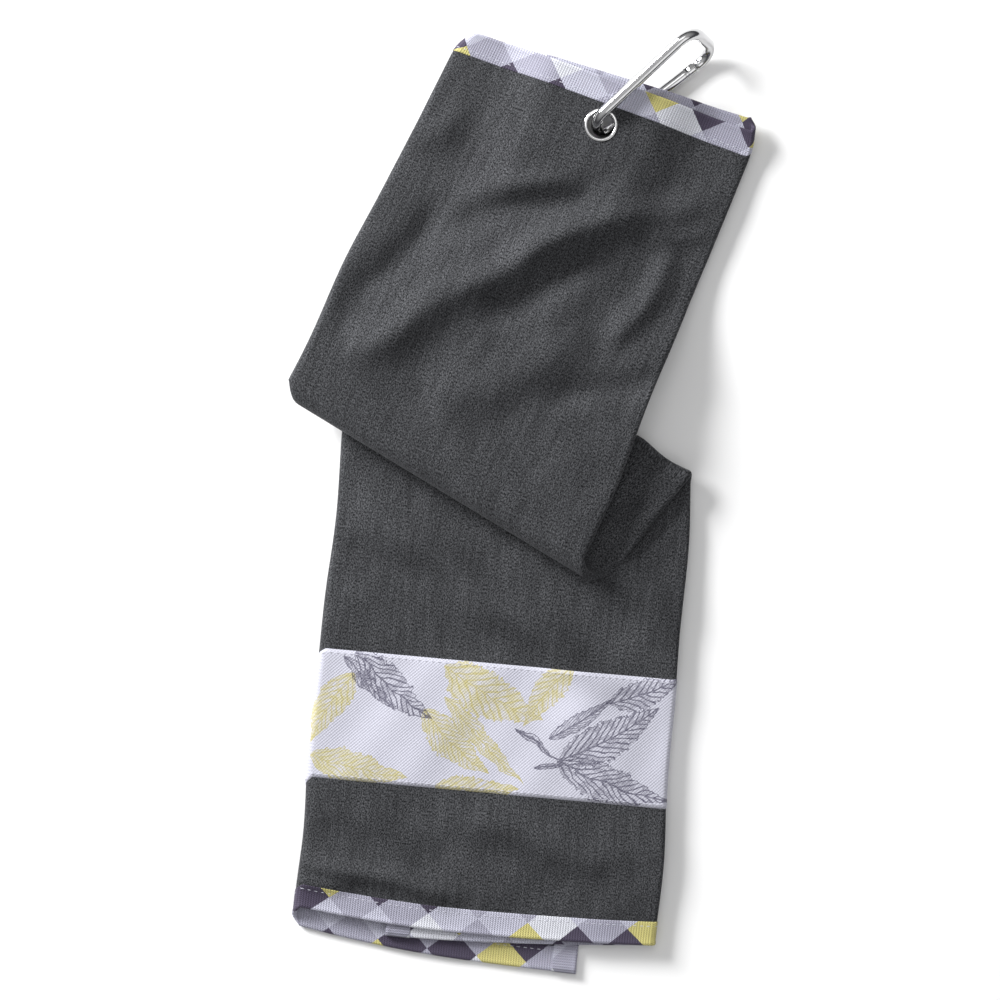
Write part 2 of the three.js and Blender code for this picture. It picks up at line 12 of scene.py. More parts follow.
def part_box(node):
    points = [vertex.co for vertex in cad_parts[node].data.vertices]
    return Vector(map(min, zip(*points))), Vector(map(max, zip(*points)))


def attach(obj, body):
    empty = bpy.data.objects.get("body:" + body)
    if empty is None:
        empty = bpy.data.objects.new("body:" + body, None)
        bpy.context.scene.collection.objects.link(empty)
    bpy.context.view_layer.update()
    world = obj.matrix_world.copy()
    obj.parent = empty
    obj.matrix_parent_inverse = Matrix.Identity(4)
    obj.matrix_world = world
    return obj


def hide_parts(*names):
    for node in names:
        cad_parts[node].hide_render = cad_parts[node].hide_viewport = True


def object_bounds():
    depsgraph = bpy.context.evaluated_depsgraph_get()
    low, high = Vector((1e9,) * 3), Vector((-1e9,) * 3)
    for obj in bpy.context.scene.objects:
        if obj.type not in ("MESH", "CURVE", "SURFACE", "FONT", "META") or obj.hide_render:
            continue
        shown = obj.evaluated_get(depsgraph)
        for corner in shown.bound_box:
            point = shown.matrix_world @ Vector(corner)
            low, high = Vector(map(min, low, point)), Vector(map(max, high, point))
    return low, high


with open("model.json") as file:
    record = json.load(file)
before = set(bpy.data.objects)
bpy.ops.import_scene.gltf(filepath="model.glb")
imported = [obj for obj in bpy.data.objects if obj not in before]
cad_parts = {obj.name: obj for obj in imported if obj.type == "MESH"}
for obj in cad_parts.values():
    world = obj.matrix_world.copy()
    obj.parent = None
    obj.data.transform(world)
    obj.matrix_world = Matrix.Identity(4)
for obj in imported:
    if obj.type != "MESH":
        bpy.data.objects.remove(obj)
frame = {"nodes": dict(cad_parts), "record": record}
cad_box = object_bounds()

MM = 0.001

# ---- Driving dimensions: the flat towel, as in the CAD source ----
TOWEL_WIDTH = 406 * MM
TOWEL_LENGTH = 483 * MM
HALF_CLOTH = 0.62 * MM
TAPE_WIDTH = 10.4 * MM
TAPE_INNER = 0.65 * MM
TAPE_OUTER = 0.92 * MM
LAP_RISE = 0.3 * MM
LAP_EASE = 1.2 * MM
BAND_TOP = 362.5 * MM
BAND_BOTTOM = 419.5 * MM

# ---- Driving dimensions: the trifold ----
LAYER_PITCH = 2.5 * MM
LEFT_BEND = LAYER_PITCH
RIGHT_BEND = LAYER_PITCH / 2
FRONT_WIDTH_TOP = 136.6 * MM
FRONT_WIDTH_BOTTOM = 158.6 * MM
FRONT_TAPER = 1.8
LEFT_FLAP_PLAN_WIDTH = 125.6 * MM
FLAP_TUCK = 8 * MM
FLAP_TUCK_AT = 243 * MM
FLAP_TUCK_REACH = 34 * MM
LEFT_HEM_DROP = 8.8 * MM
RIGHT_HEM_RISE = 5.5 * MM
FLAP_SPREAD = 0.0456
TOP_SHEAR = -0.081
SHEAR_LENGTH = 190 * MM

# ---- Driving dimensions: the Z-fold ----
LOWER_HEIGHT = 2 * LAYER_PITCH + 1.16 * MM
FOLD2_RADIUS = 1.6 * MM
MIDDLE_HEIGHT = LOWER_HEIGHT + 2 * FOLD2_RADIUS
FOLD1_RADIUS = 2 * LAYER_PITCH + 1.7 * MM
UPPER_HEIGHT = MIDDLE_HEIGHT + 2 * FOLD1_RADIUS
CAD_HALF_CLOTH = 0.55 * MM
PLAN_MIDDLE = np.array([2.96, -0.54]) * MM
TOP_HEM_CENTRE = np.array([40.5, 184.8]) * MM - PLAN_MIDDLE
UPPER_ANGLE = math.radians(24.4)
FOLD1_EDGE = np.array([-39.65, 8.15]) * MM - PLAN_MIDDLE
FOLD1_SLOPE = math.radians(31.2)
FOLD1_SLIDE = 11.2 * MM
FOLD2_EDGE = np.array([-1.15, 46.7]) * MM - PLAN_MIDDLE
FOLD2_SLOPE = math.radians(21.6)
RAMP_START = 50 * MM
RAMP_END = 128 * MM
TENT_LIFT = 7.2 * MM
TENT_FLAT = 27 * MM
TENT_FOOT = 45 * MM
TENT_NARROWING = 0.55
HEM_FLARE = 2.4 * MM
FLARE_LENGTH = 10.9 * MM

# ---- Driving dimensions: the softness that only the looks have ----
EDGE_WANDER = 0.6 * MM
CORNER_REACH = 13 * MM
CORNER_PULL = 4.5 * MM
FOLD2_BULGE = 6.0 * MM
BULGE_PLACE = 55 * MM
BULGE_WIDTH = 13 * MM
BULGE_REACH = 13 * MM
CREASE_STRENGTH = 2.3
HEM_DRAW = 1.3 * MM
HEM_DRAW_LEFT = 4.8 * MM
HEM_DRAW_RIGHT = 1.9 * MM


# ---- Trifold and Z-fold: the same mapping as the CAD source, on numpy arrays ----

def front_width(v):
    remaining = 1 - np.clip(v / TOWEL_LENGTH, 0, 1)
    return FRONT_WIDTH_BOTTOM - (FRONT_WIDTH_BOTTOM - FRONT_WIDTH_TOP) * remaining ** FRONT_TAPER


def left_flap_width(v):
    tuck = FLAP_TUCK * np.exp(-(((v - FLAP_TUCK_AT) / FLAP_TUCK_REACH) ** 2))
    return LEFT_FLAP_PLAN_WIDTH - LEFT_BEND + (FRONT_WIDTH_BOTTOM - front_width(v)) / 2 - tuck


def front_flat_width(v):
    return front_width(v) - LEFT_BEND - RIGHT_BEND


def front_start(v):
    return left_flap_width(v) + math.pi * LEFT_BEND


def front_end(v):
    return front_start(v) + front_flat_width(v)


def right_flap_start(v):
    return front_end(v) + math.pi * RIGHT_BEND


def strip_point(u, v, offset):
    """Flat towel to the folded strip: x across, s along, n depth."""
    u, v, offset = np.broadcast_arrays(u, v, offset)
    along = v / TOWEL_LENGTH
    left_tangent = -front_width(v) / 2 + LEFT_BEND
    right_tangent = front_width(v) / 2 - RIGHT_BEND
    past_left_flap = u - left_flap_width(v)
    past_left_bend = past_left_flap - math.pi * LEFT_BEND
    past_front = past_left_bend - front_flat_width(v)
    past_right_bend = past_front - math.pi * RIGHT_BEND
    left_angle = past_left_flap / LEFT_BEND
    right_angle = past_front / RIGHT_BEND
    where = [past_left_flap < 0, past_left_bend < 0, past_front < 0, past_right_bend < 0]
    normal_x = np.select(where, [0, -np.sin(left_angle), 0, np.sin(right_angle)], 0)
    normal_n = np.select(where, [-1, -np.cos(left_angle), 1, np.cos(right_angle)], -1)
    x = np.select(
        where,
        [
            left_tangent - past_left_flap,
            left_tangent + LEFT_BEND * normal_x,
            left_tangent + past_left_bend,
            right_tangent + RIGHT_BEND * normal_x,
        ],
        right_tangent - past_right_bend,
    )
    n = np.select(
        where,
        [
            -2 * LEFT_BEND,
            LEFT_BEND * (normal_n - 1),
            0,
            RIGHT_BEND * (normal_n - 1),
        ],
        -2 * RIGHT_BEND,
    )
    shift = np.select(
        where,
        [
            (LEFT_HEM_DROP - FLAP_SPREAD * past_left_flap) * along,
            LEFT_HEM_DROP * along * (1 - left_angle / math.pi),
            0,
            -RIGHT_HEM_RISE * (1 - along) * right_angle / math.pi,
        ],
        -RIGHT_HEM_RISE * (1 - along) + FLAP_SPREAD * past_right_bend,
    )
    shift = shift + TOP_SHEAR * x * np.maximum(0, 1 - v / SHEAR_LENGTH)
    return x + offset * normal_x, v + shift, n + offset * normal_n


def line_and_normal(slope):
    """Unit vectors down to the right along a sloping line, and across it toward the bottom."""
    return np.array([math.cos(slope), -math.sin(slope)]), np.array([-math.sin(slope), -math.cos(slope)])


UPPER_RIGHT, UPPER_DOWN = line_and_normal(UPPER_ANGLE)
FOLD1_LINE, FOLD1_NORMAL = line_and_normal(FOLD1_SLOPE)
FOLD2_LINE, fold2_down = line_and_normal(FOLD2_SLOPE)
FOLD2_NORMAL = -fold2_down
FOLD1_START = FOLD1_EDGE - FOLD1_NORMAL * (FOLD1_RADIUS + CAD_HALF_CLOTH)
FOLD2_START = FOLD2_EDGE - FOLD2_NORMAL * (FOLD2_RADIUS + 2 * LAYER_PITCH + CAD_HALF_CLOTH)
FOLD1_LENGTH = math.pi * FOLD1_RADIUS
FOLD2_LENGTH = math.pi * FOLD2_RADIUS


def smooth(value):
    t = np.clip(value, 0, 1)
    return t * t * (3 - 2 * t)


def edge_wander(x, s):
    """Sideways unevenness shared by all three layers, and the soft corners of the top hem."""
    wave = np.sin(s / (23 * MM) + 0.6) + 0.6 * np.sin(s / (11.3 * MM))
    settled = smooth((s - 40 * MM) / (50 * MM))
    corner = np.maximum(0, 1 - from_top_hem(x, s) / CORNER_REACH) ** 2
    corner_pull = smooth((-x - 58 * MM) / (10 * MM)) - 0.5 * smooth((x - 60 * MM) / (8 * MM))
    return EDGE_WANDER * wave * settled + CORNER_PULL * corner * corner_pull


def hem_bow(x, s):
    """The bottom hem sags in its middle: its two ends draw up, the left one more."""
    reach = x / (75 * MM)
    ends = np.where(reach < 0, HEM_DRAW_LEFT, HEM_DRAW_RIGHT) * np.minimum(reach ** 2, 1.2)
    return (HEM_DRAW + ends) * smooth((s - BAND_BOTTOM) / (TOWEL_LENGTH - BAND_BOTTOM))


def upper_plan(x, s):
    across = x + edge_wander(x, s)
    down = s - hem_bow(x, s)
    return TOP_HEM_CENTRE + across[..., None] * UPPER_RIGHT + down[..., None] * UPPER_DOWN


def fold1_travel(plan):
    return (plan - FOLD1_START) @ FOLD1_NORMAL


def middle_plan(plan):
    travel = fold1_travel(plan)[..., None]
    return plan + FOLD1_NORMAL * (FOLD1_LENGTH - 2 * travel) + FOLD1_LINE * FOLD1_SLIDE


def fold2_travel(plan):
    return (plan - FOLD2_START) @ FOLD2_NORMAL


def from_top_hem(x, s):
    return s - TOP_SHEAR * x * np.maximum(0, 1 - s / SHEAR_LENGTH)


def soft_tent(reach):
    """The CAD's straight-sided tent with its creases eased."""
    return smooth((TENT_FOOT * 1.12 - reach) / (TENT_FOOT * 1.12 - TENT_FLAT * 0.86))


def upper_height(x, s):
    narrowing = 1 - TENT_NARROWING * np.clip(s / TOWEL_LENGTH, 0, 1)
    flare = HEM_FLARE * np.maximum(0, 1 - from_top_hem(x, s) / FLARE_LENGTH)
    low = LOWER_HEIGHT + TENT_LIFT * soft_tent(np.abs(x) / narrowing) + flare
    return low + (UPPER_HEIGHT - low) * smooth((s - RAMP_START) / (RAMP_END - RAMP_START))


# ---- Creases and ridges: (x, s) from, (x, s) to, half width, height; all in mm on the strip ----
UPPER_CREASES = [
    ((62, 26), (5, 75), 7.5, 2.6),
    ((5, 75), (-49, 149), 8.5, 3.0),
    ((20, 40), (-25, 63), 6.0, 1.5),
    ((56, 60), (50, 102), 5.0, 1.6),
    ((64, 42), (46, 56), 4.0, 1.0),
    ((18, 40), (-38, 88), 7.0, -1.8),
    ((-45, 82), (-62, 143), 7.0, -1.6),
    ((28, 72), (-3, 111), 7.5, -1.9),
    ((-17, 158), (-30, 172), 9.0, -1.1),
    ((70, 112), (38, 137), 6.0, -1.4),
    ((30, 118), (-10, 160), 10.0, 1.5),
    ((-66, 60), (-52, 30), 6.0, 1.0),
]
LOWER_CREASES = [
    ((-59, 302), (35, 359), 8.0, 2.6),
    ((-70, 322), (-10, 355), 7.0, -1.5),
    ((20, 292), (66, 330), 8.0, 1.7),
    ((-71, 461), (-17, 466), 4.5, 1.9),
    ((-79, 473), (-59, 468), 3.0, 1.0),
    ((-68, 444), (-27, 453), 6.0, -0.8),
    ((-7, 432), (52, 446), 8.0, 1.6),
    ((30, 380), (60, 410), 12.0, 0.6),
]
CREASE_FADE = 26 * MM
UPPER_REACH = 44 * MM
LOWER_FLOOR = 1.2 * MM


def crease_field(x, s, creases):
    """Sum of soft straight folds; each fades to nothing past its ends."""
    total = np.zeros_like(x)
    for (x0, s0), (x1, s1), width, height in creases:
        start = np.array([x0, s0]) * MM
        line = np.array([x1, s1]) * MM - start
        length = np.linalg.norm(line)
        direction = line / length
        along = (x - start[0]) * direction[0] + (s - start[1]) * direction[1]
        across = (s - start[1]) * direction[0] - (x - start[0]) * direction[1]
        wander = 1.6 * MM * np.sin(along / (9 * MM) + x0)
        ends = smooth((along + length * 0.3) / (length * 0.45)) \
            * smooth((length * 1.3 - along) / (length * 0.45))
        profile = np.exp(-(((across + wander) / (width * MM)) ** 2))
        total = total + CREASE_STRENGTH * height * MM * profile * ends
    return total


def ripple(x, s):
    """Slow unevenness that cloth has everywhere."""
    return MM * (
        0.35 * np.sin(x / (11 * MM) + s / (17 * MM))
        + 0.28 * np.sin(x / (7.3 * MM) - s / (12.1 * MM) + 1.3)
        + 0.16 * np.sin(x / (4.1 * MM) + s / (6.3 * MM) + 0.4)
    )


def upper_relief(x, s, travel):
    window = smooth((s - 14 * MM) / UPPER_REACH) * smooth(-travel / CREASE_FADE)
    near_grommet = np.exp(-(((x - 3.8 * MM) / (16 * MM)) ** 2 + ((s - 19.6 * MM) / (16 * MM)) ** 2))
    return window * (1 - near_grommet) * (crease_field(x, s, UPPER_CREASES) + ripple(x, s))


def lower_relief(x, s, travel):
    window = smooth(travel / CREASE_FADE)
    relief = crease_field(x, s, LOWER_CREASES) + ripple(x, s) + LOWER_FLOOR
    return window * np.maximum(relief, 0) * (0.35 + 0.65 * smooth((TOWEL_LENGTH - s) / (18 * MM)))


def fold2_bulge(middle, travel2):
    """The turned-over edge bows outward near its right end."""
    place = (middle - FOLD2_EDGE) @ FOLD2_LINE
    from_fold = travel2 - FOLD2_LENGTH / 2
    bow = np.exp(-(((place - BULGE_PLACE) / BULGE_WIDTH) ** 2 + (from_fold / BULGE_REACH) ** 2))
    return FOLD2_BULGE * bow[..., None] * FOLD2_NORMAL


def space_point(x, s, n):
    """The folded strip to space."""
    upper = upper_plan(x, s)
    travel1 = fold1_travel(upper)
    angle1 = np.clip(travel1 / FOLD1_RADIUS, 0, math.pi)
    middle = middle_plan(upper)
    travel2 = fold2_travel(middle)
    bulge = fold2_bulge(middle, travel2)
    angle2 = np.clip(travel2 / FOLD2_RADIUS, 0, math.pi)
    radius1 = FOLD1_RADIUS + n
    radius2 = FOLD2_RADIUS - n
    bend1 = upper \
        + FOLD1_NORMAL * (radius1 * np.sin(angle1) - travel1)[..., None] \
        + FOLD1_LINE * (FOLD1_SLIDE * angle1 / math.pi)[..., None]
    bend2 = middle + FOLD2_NORMAL * (radius2 * np.sin(angle2) - travel2)[..., None]
    lower = middle + FOLD2_NORMAL * (FOLD2_LENGTH - 2 * travel2)[..., None]
    where = [travel1 <= 0, travel1 < FOLD1_LENGTH, travel2 <= 0, travel2 < FOLD2_LENGTH]
    z = np.select(
        where,
        [
            upper_height(x, s) + n + upper_relief(x, s, travel1),
            UPPER_HEIGHT - FOLD1_RADIUS + radius1 * np.cos(angle1),
            MIDDLE_HEIGHT - n,
            MIDDLE_HEIGHT - FOLD2_RADIUS + radius2 * np.cos(angle2),
        ],
        LOWER_HEIGHT + n + lower_relief(x, s, travel2 - FOLD2_LENGTH),
    )
    pick = [c[..., None] for c in where]
    plan = np.select(pick, [upper, bend1, middle + bulge, bend2 + bulge], lower + bulge)
    return np.concatenate([plan, z[..., None]], axis=-1)


def towel_point(u, v, offset):
    return space_point(*strip_point(u, v, offset))


# ---- Fine grid lines over the flat towel ----

def column_functions():
    """Columns as functions of v, close together round the two side bends."""
    spans = [
        (lambda v: 0 * v, left_flap_width, 58),
        (left_flap_width, front_start, 12),
        (front_start, front_end, 76),
        (front_end, right_flap_start, 10),
        (right_flap_start, lambda v: 0 * v + TOWEL_WIDTH, 56),
    ]
    columns = []
    for start, end, count in spans:
        for k in range(count):
            columns.append(lambda v, a=start, b=end, f=k / count: a(v) + f * (b(v) - a(v)))
    columns.append(spans[-1][1])
    return columns


def solve_rows(column, measure, target):
    """The v at which a rising measure reaches its target, along one column."""
    low, high = 0.0, TOWEL_LENGTH
    for _ in range(34):
        v = np.array((low + high) / 2)
        if measure(*strip_point(column(v), v, np.array(0.0))) < target:
            low = float(v)
        else:
            high = float(v)
    return (low + high) / 2


def travel1_of(x, s, n):
    return fold1_travel(upper_plan(x, s))


def travel2_of(x, s, n):
    return fold2_travel(middle_plan(upper_plan(x, s)))


ROW_COUNTS = [96, 18, 20, 14, 118]


def fine_rows(column):
    anchors = [0.0]
    for measure, fold_length in ((travel1_of, FOLD1_LENGTH), (travel2_of, FOLD2_LENGTH)):
        anchors += [solve_rows(column, measure, target) for target in (0.0, fold_length)]
    anchors.append(TOWEL_LENGTH)
    stretches = [
        np.linspace(a, b, count, endpoint=False)
        for a, b, count in zip(anchors, anchors[1:], ROW_COUNTS)
    ]
    return np.concatenate(stretches + [[TOWEL_LENGTH]])


# ---- Mesh helpers ----

def link_object(name, data, material=None):
    if material:
        data.materials.append(material)
    obj = bpy.data.objects.new(name, data)
    bpy.context.scene.collection.objects.link(obj)
    return obj


def link_solid(name, work, material=None, smooth_shading=False):
    """Turn a closed bmesh into an object with its faces pointing out."""
    bmesh.ops.recalc_face_normals(work, faces=work.faces)
    mesh = bpy.data.meshes.new(name)
    work.to_mesh(mesh)
    work.free()
    mesh.polygons.foreach_set("use_smooth", [smooth_shading] * len(mesh.polygons))
    return link_object(name, mesh, material)


def new_mesh_object(name, points, faces, material, uv=None):
    """A smooth-shaded object from points and faces; uv holds one flat place for each point."""
    mesh = bpy.data.meshes.new(name)
    mesh.from_pydata(np.asarray(points).reshape(-1, 3).tolist(), [], faces)
    mesh.update()
    if uv is not None:
        layer = mesh.uv_layers.new(name="flat")
        loops = np.zeros(len(mesh.loops), dtype=np.int32)
        mesh.loops.foreach_get("vertex_index", loops)
        layer.data.foreach_set("uv", np.asarray(uv).reshape(-1, 2)[loops].astype(np.float32).ravel())
    mesh.polygons.foreach_set("use_smooth", [True] * len(mesh.polygons))
    make_faces_point_out(mesh)
    return link_object(name, mesh, material)


def make_faces_point_out(mesh):
    work = bmesh.new()
    work.from_mesh(mesh)
    if work.calc_volume(signed=True) < 0:
        bmesh.ops.reverse_faces(work, faces=work.faces)
        work.to_mesh(mesh)
    work.free()
    mesh.update()


def solid_between(name, top, bottom, uv, material):
    """A closed solid between two grids of points."""
    rows, columns = top.shape[:2]
    index = np.arange(rows * columns).reshape(rows, columns)
    under = index + rows * columns
    a, b = index[:-1, :-1], index[:-1, 1:]
    c, d = index[1:, 1:], index[1:, :-1]
    faces = [np.stack([a, b, c, d], -1).reshape(-1, 4)]
    faces.append(np.stack([a, d, c, b], -1).reshape(-1, 4) + rows * columns)
    for edge, edge_under in (
        (index[:, 0], under[:, 0]),
        (index[:, -1][::-1], under[:, -1][::-1]),
        (index[0][::-1], under[0][::-1]),
        (index[-1], under[-1]),
    ):
        faces.append(np.stack([edge[:-1], edge[1:], edge_under[1:], edge_under[:-1]], -1))
    points = np.concatenate([top.reshape(-1, 3), bottom.reshape(-1, 3)])
    both = np.concatenate([uv.reshape(-1, 2)] * 2)
    return new_mesh_object(name, points, np.concatenate(faces).tolist(), material, both)


def tube_faces(rings, sides):
    """Faces that join rings of points into a tube, and the two that close its ends."""
    faces = []
    for k in range(rings - 1):
        for j in range(sides):
            a, b = k * sides + j, k * sides + (j + 1) % sides
            faces.append((a, b, b + sides, a + sides))
    return faces + [tuple(reversed(range(sides))), tuple(range((rings - 1) * sides, rings * sides))]


def cut_away(obj, cutter):
    """Cut one object's solid out of another, and delete the cutter."""
    modifier = obj.modifiers.new("cut", "BOOLEAN")
    modifier.object = cutter
    modifier.operation = "DIFFERENCE"
    modifier.solver = "EXACT"
    graph = bpy.context.evaluated_depsgraph_get()
    result = bpy.data.meshes.new_from_object(obj.evaluated_get(graph))
    obj.modifiers.remove(modifier)
    obj.data = result
    bpy.data.objects.remove(cutter)


# ---- Node helpers ----

class Nodes:
    """A short way to write a node tree."""

    def __init__(self, tree):
        self.tree = tree

    def add(self, kind, inputs=None, **settings):
        node = self.tree.nodes.new(kind)
        for key, value in settings.items():
            setattr(node, key, value)
        self.feed(node, inputs or {})
        return node

    def feed(self, node, inputs):
        for key, value in inputs.items():
            self.set(node.inputs[key], value)

    def set(self, socket, value):
        if isinstance(value, bpy.types.NodeSocket):
            self.tree.links.new(value, socket)
        else:
            socket.default_value = value

    def math(self, operation, a, b=0.0, clamp=False):
        return self.add("ShaderNodeMath", {0: a, 1: b}, operation=operation, use_clamp=clamp).outputs[0]

    def times(self, a, b):
        return self.math("MULTIPLY", a, b)

    def plus(self, a, b):
        return self.math("ADD", a, b)

    def minus(self, a, b):
        return self.math("SUBTRACT", a, b)

    def mix(self, factor, a, b):
        return self.add("ShaderNodeMix", {0: factor, 6: a, 7: b}, data_type="RGBA").outputs[2]

    def dimmed(self, colour, shade):
        return self.add("ShaderNodeVectorMath", {0: colour, "Scale": shade}, operation="SCALE").outputs[0]

    def scaled(self, vector, scale):
        return self.add("ShaderNodeVectorMath", {0: vector, 1: scale}, operation="MULTIPLY").outputs[0]

    def noise(self, vector, scale, detail=2.0, roughness=0.5):
        node = self.add("ShaderNodeTexNoise", {
            "Vector": vector, "Scale": scale, "Detail": detail, "Roughness": roughness})
        return node.outputs["Fac"]

    def remap(self, value, low, high, out_low=0.0, out_high=1.0):
        node = self.add("ShaderNodeMapRange", {
            "Value": value, "From Min": low, "From Max": high, "To Min": out_low, "To Max": out_high})
        return node.outputs[0]

    def combine(self, x, y, z=0.0):
        return self.add("ShaderNodeCombineXYZ", {0: x, 1: y, 2: z}).outputs[0]

    def split(self, vector):
        return self.add("ShaderNodeSeparateXYZ", {0: vector}).outputs


def new_material(name):
    material = bpy.data.materials.new(name)
    material.use_nodes = True
    material.node_tree.nodes.clear()
    nodes = Nodes(material.node_tree)
    output = nodes.add("ShaderNodeOutputMaterial")
    shader = nodes.add("ShaderNodeBsdfPrincipled")
    material.node_tree.links.new(shader.outputs[0], output.inputs[0])
    return material, nodes, shader


def flat_millimetres(nodes):
    uv = nodes.add("ShaderNodeUVMap", uv_map="flat").outputs[0]
    return nodes.scaled(uv, (1000.0, 1000.0, 1000.0))


def link_bump(nodes, shader, height, strength, distance):
    bump = nodes.add("ShaderNodeBump", {
        "Height": height, "Strength": strength, "Distance": distance})
    nodes.set(shader.inputs["Normal"], bump.outputs[0])


# ---- Materials ----

DARK_PILE = (0.004, 0.0042, 0.005, 1)
LIGHT_PILE = (0.125, 0.128, 0.137, 1)
LAVENDER = (0.36, 0.355, 0.44, 1)
PALE_LAVENDER = (0.50, 0.50, 0.60, 1)
NEAR_WHITE = (0.66, 0.67, 0.73, 1)
DARK_PURPLE = (0.062, 0.05, 0.085, 1)
PALE_YELLOW = (0.56, 0.51, 0.19, 1)
BAND_GROUND = (0.50, 0.50, 0.575, 1)
LEAF_YELLOW = (0.50, 0.46, 0.25, 1)
LEAF_YELLOW_LINE = (0.42, 0.37, 0.14, 1)
LEAF_DARK_LINE = (0.05, 0.045, 0.085, 1)
THREAD_SHADE = (0.36, 0.36, 0.43, 1)
THREAD_LIGHT = (0.62, 0.62, 0.68, 1)


def velour_material():
    """Charcoal heather pile: speckled fibres, faint streaks along the nap and soft mottling."""
    material, nodes, shader = new_material("velour")
    place = flat_millimetres(nodes)
    speckle = nodes.noise(nodes.scaled(place, (1.0, 0.6, 1.0)), 1.9, 3.0, 0.65)
    fine = nodes.noise(place, 4.2, 2.0, 0.6)
    streak = nodes.noise(nodes.scaled(place, (0.5, 0.05, 1.0)), 1.0, 3.0, 0.6)
    mottle = nodes.noise(nodes.scaled(place, (0.07, 0.05, 1.0)), 1.0, 3.0, 0.55)
    fibre = nodes.plus(nodes.times(speckle, 0.68), nodes.times(fine, 0.32))
    level = nodes.remap(fibre, 0.42, 0.64)
    cloud = nodes.plus(nodes.times(streak, 0.7), nodes.times(mottle, 0.3))
    cloud = nodes.remap(cloud, 0.34, 0.66, 0.6, 1.2)
    level = nodes.math("MULTIPLY", level, cloud, clamp=True)
    colour = nodes.mix(level, DARK_PILE, LIGHT_PILE)
    nodes.feed(shader, {
        "Base Color": colour, "Roughness": 0.95, "Specular IOR Level": 0.15,
        "Sheen Weight": 0.16, "Sheen Roughness": 0.4, "Sheen Tint": (0.75, 0.76, 0.8, 1)})
    link_bump(nodes, shader, fibre, 0.7, 0.0006)
    return material


def weave_height(nodes, place, pitch_x, pitch_y):
    """Over-and-under yarns: 1 on top of a yarn, 0 in the gaps."""
    x, y, _ = nodes.split(place)
    wave_x = nodes.math("SINE", nodes.times(x, 2 * math.pi / pitch_x))
    wave_y = nodes.math("SINE", nodes.times(y, 2 * math.pi / pitch_y))
    product = nodes.times(wave_x, wave_y)
    return nodes.plus(nodes.times(product, 0.5), 0.5)


DIAMOND_WIDTH = 22.0
DIAMOND_HEIGHT = 20.0
# Steps of one and of three along this list never meet the same colour: those are the neighbours.
DIAMOND_COLOURS = [
    LAVENDER, PALE_LAVENDER, LAVENDER,
    DARK_PURPLE, PALE_YELLOW, NEAR_WHITE,
    PALE_LAVENDER, LAVENDER, DARK_PURPLE,
]


def tape_material():
    """Ribbed tape printed with harlequin diamonds."""
    material, nodes, shader = new_material("binding_tape")
    place = flat_millimetres(nodes)
    along, inset, _ = nodes.split(place)
    jitter = nodes.times(nodes.noise(place, 1.4, 1.0), 0.03)
    across = nodes.math("DIVIDE", along, DIAMOND_WIDTH)
    down = nodes.plus(nodes.math("DIVIDE", inset, DIAMOND_HEIGHT), 0.12)
    first = nodes.plus(nodes.plus(across, down), jitter)
    second = nodes.minus(nodes.minus(across, down), jitter)
    tripled = nodes.times(nodes.math("FLOOR", second), 3.0)
    cell = nodes.plus(nodes.math("FLOOR", first), tripled)
    count = len(DIAMOND_COLOURS)
    pick = nodes.math("DIVIDE", nodes.plus(nodes.math("FLOORED_MODULO", cell, count), 0.5), count)
    ramp = nodes.add("ShaderNodeValToRGB", {"Fac": pick})
    ramp.color_ramp.interpolation = "CONSTANT"
    elements = ramp.color_ramp.elements
    while len(elements) < count:
        elements.new(0.5)
    for k, colour in enumerate(DIAMOND_COLOURS):
        elements[k].position = k / count
        elements[k].color = colour
    weave = weave_height(nodes, place, 1.15, 0.95)
    rib = nodes.math("SINE", nodes.times(along, 2 * math.pi / 1.15))
    rib = nodes.remap(rib, -1.0, 1.0)
    grain = nodes.noise(place, 1.7, 2.0)
    # Painted shade: the colour darkens in the gaps of the weave and between the ribs; the grain noise adds
    # random tone.
    shade = nodes.plus(nodes.times(weave, 0.45), nodes.times(rib, 0.3))
    shade = nodes.plus(shade, nodes.times(grain, 0.25))
    shade = nodes.remap(shade, 0.0, 1.0, 0.42, 1.26)
    nodes.feed(shader, {
        "Base Color": nodes.dimmed(ramp.outputs[0], shade), "Roughness": 0.72,
        "Specular IOR Level": 0.3, "Sheen Weight": 0.1})
    height = nodes.plus(weave, nodes.times(rib, 0.8))
    link_bump(nodes, shader, height, 0.6, 0.0003)
    return material


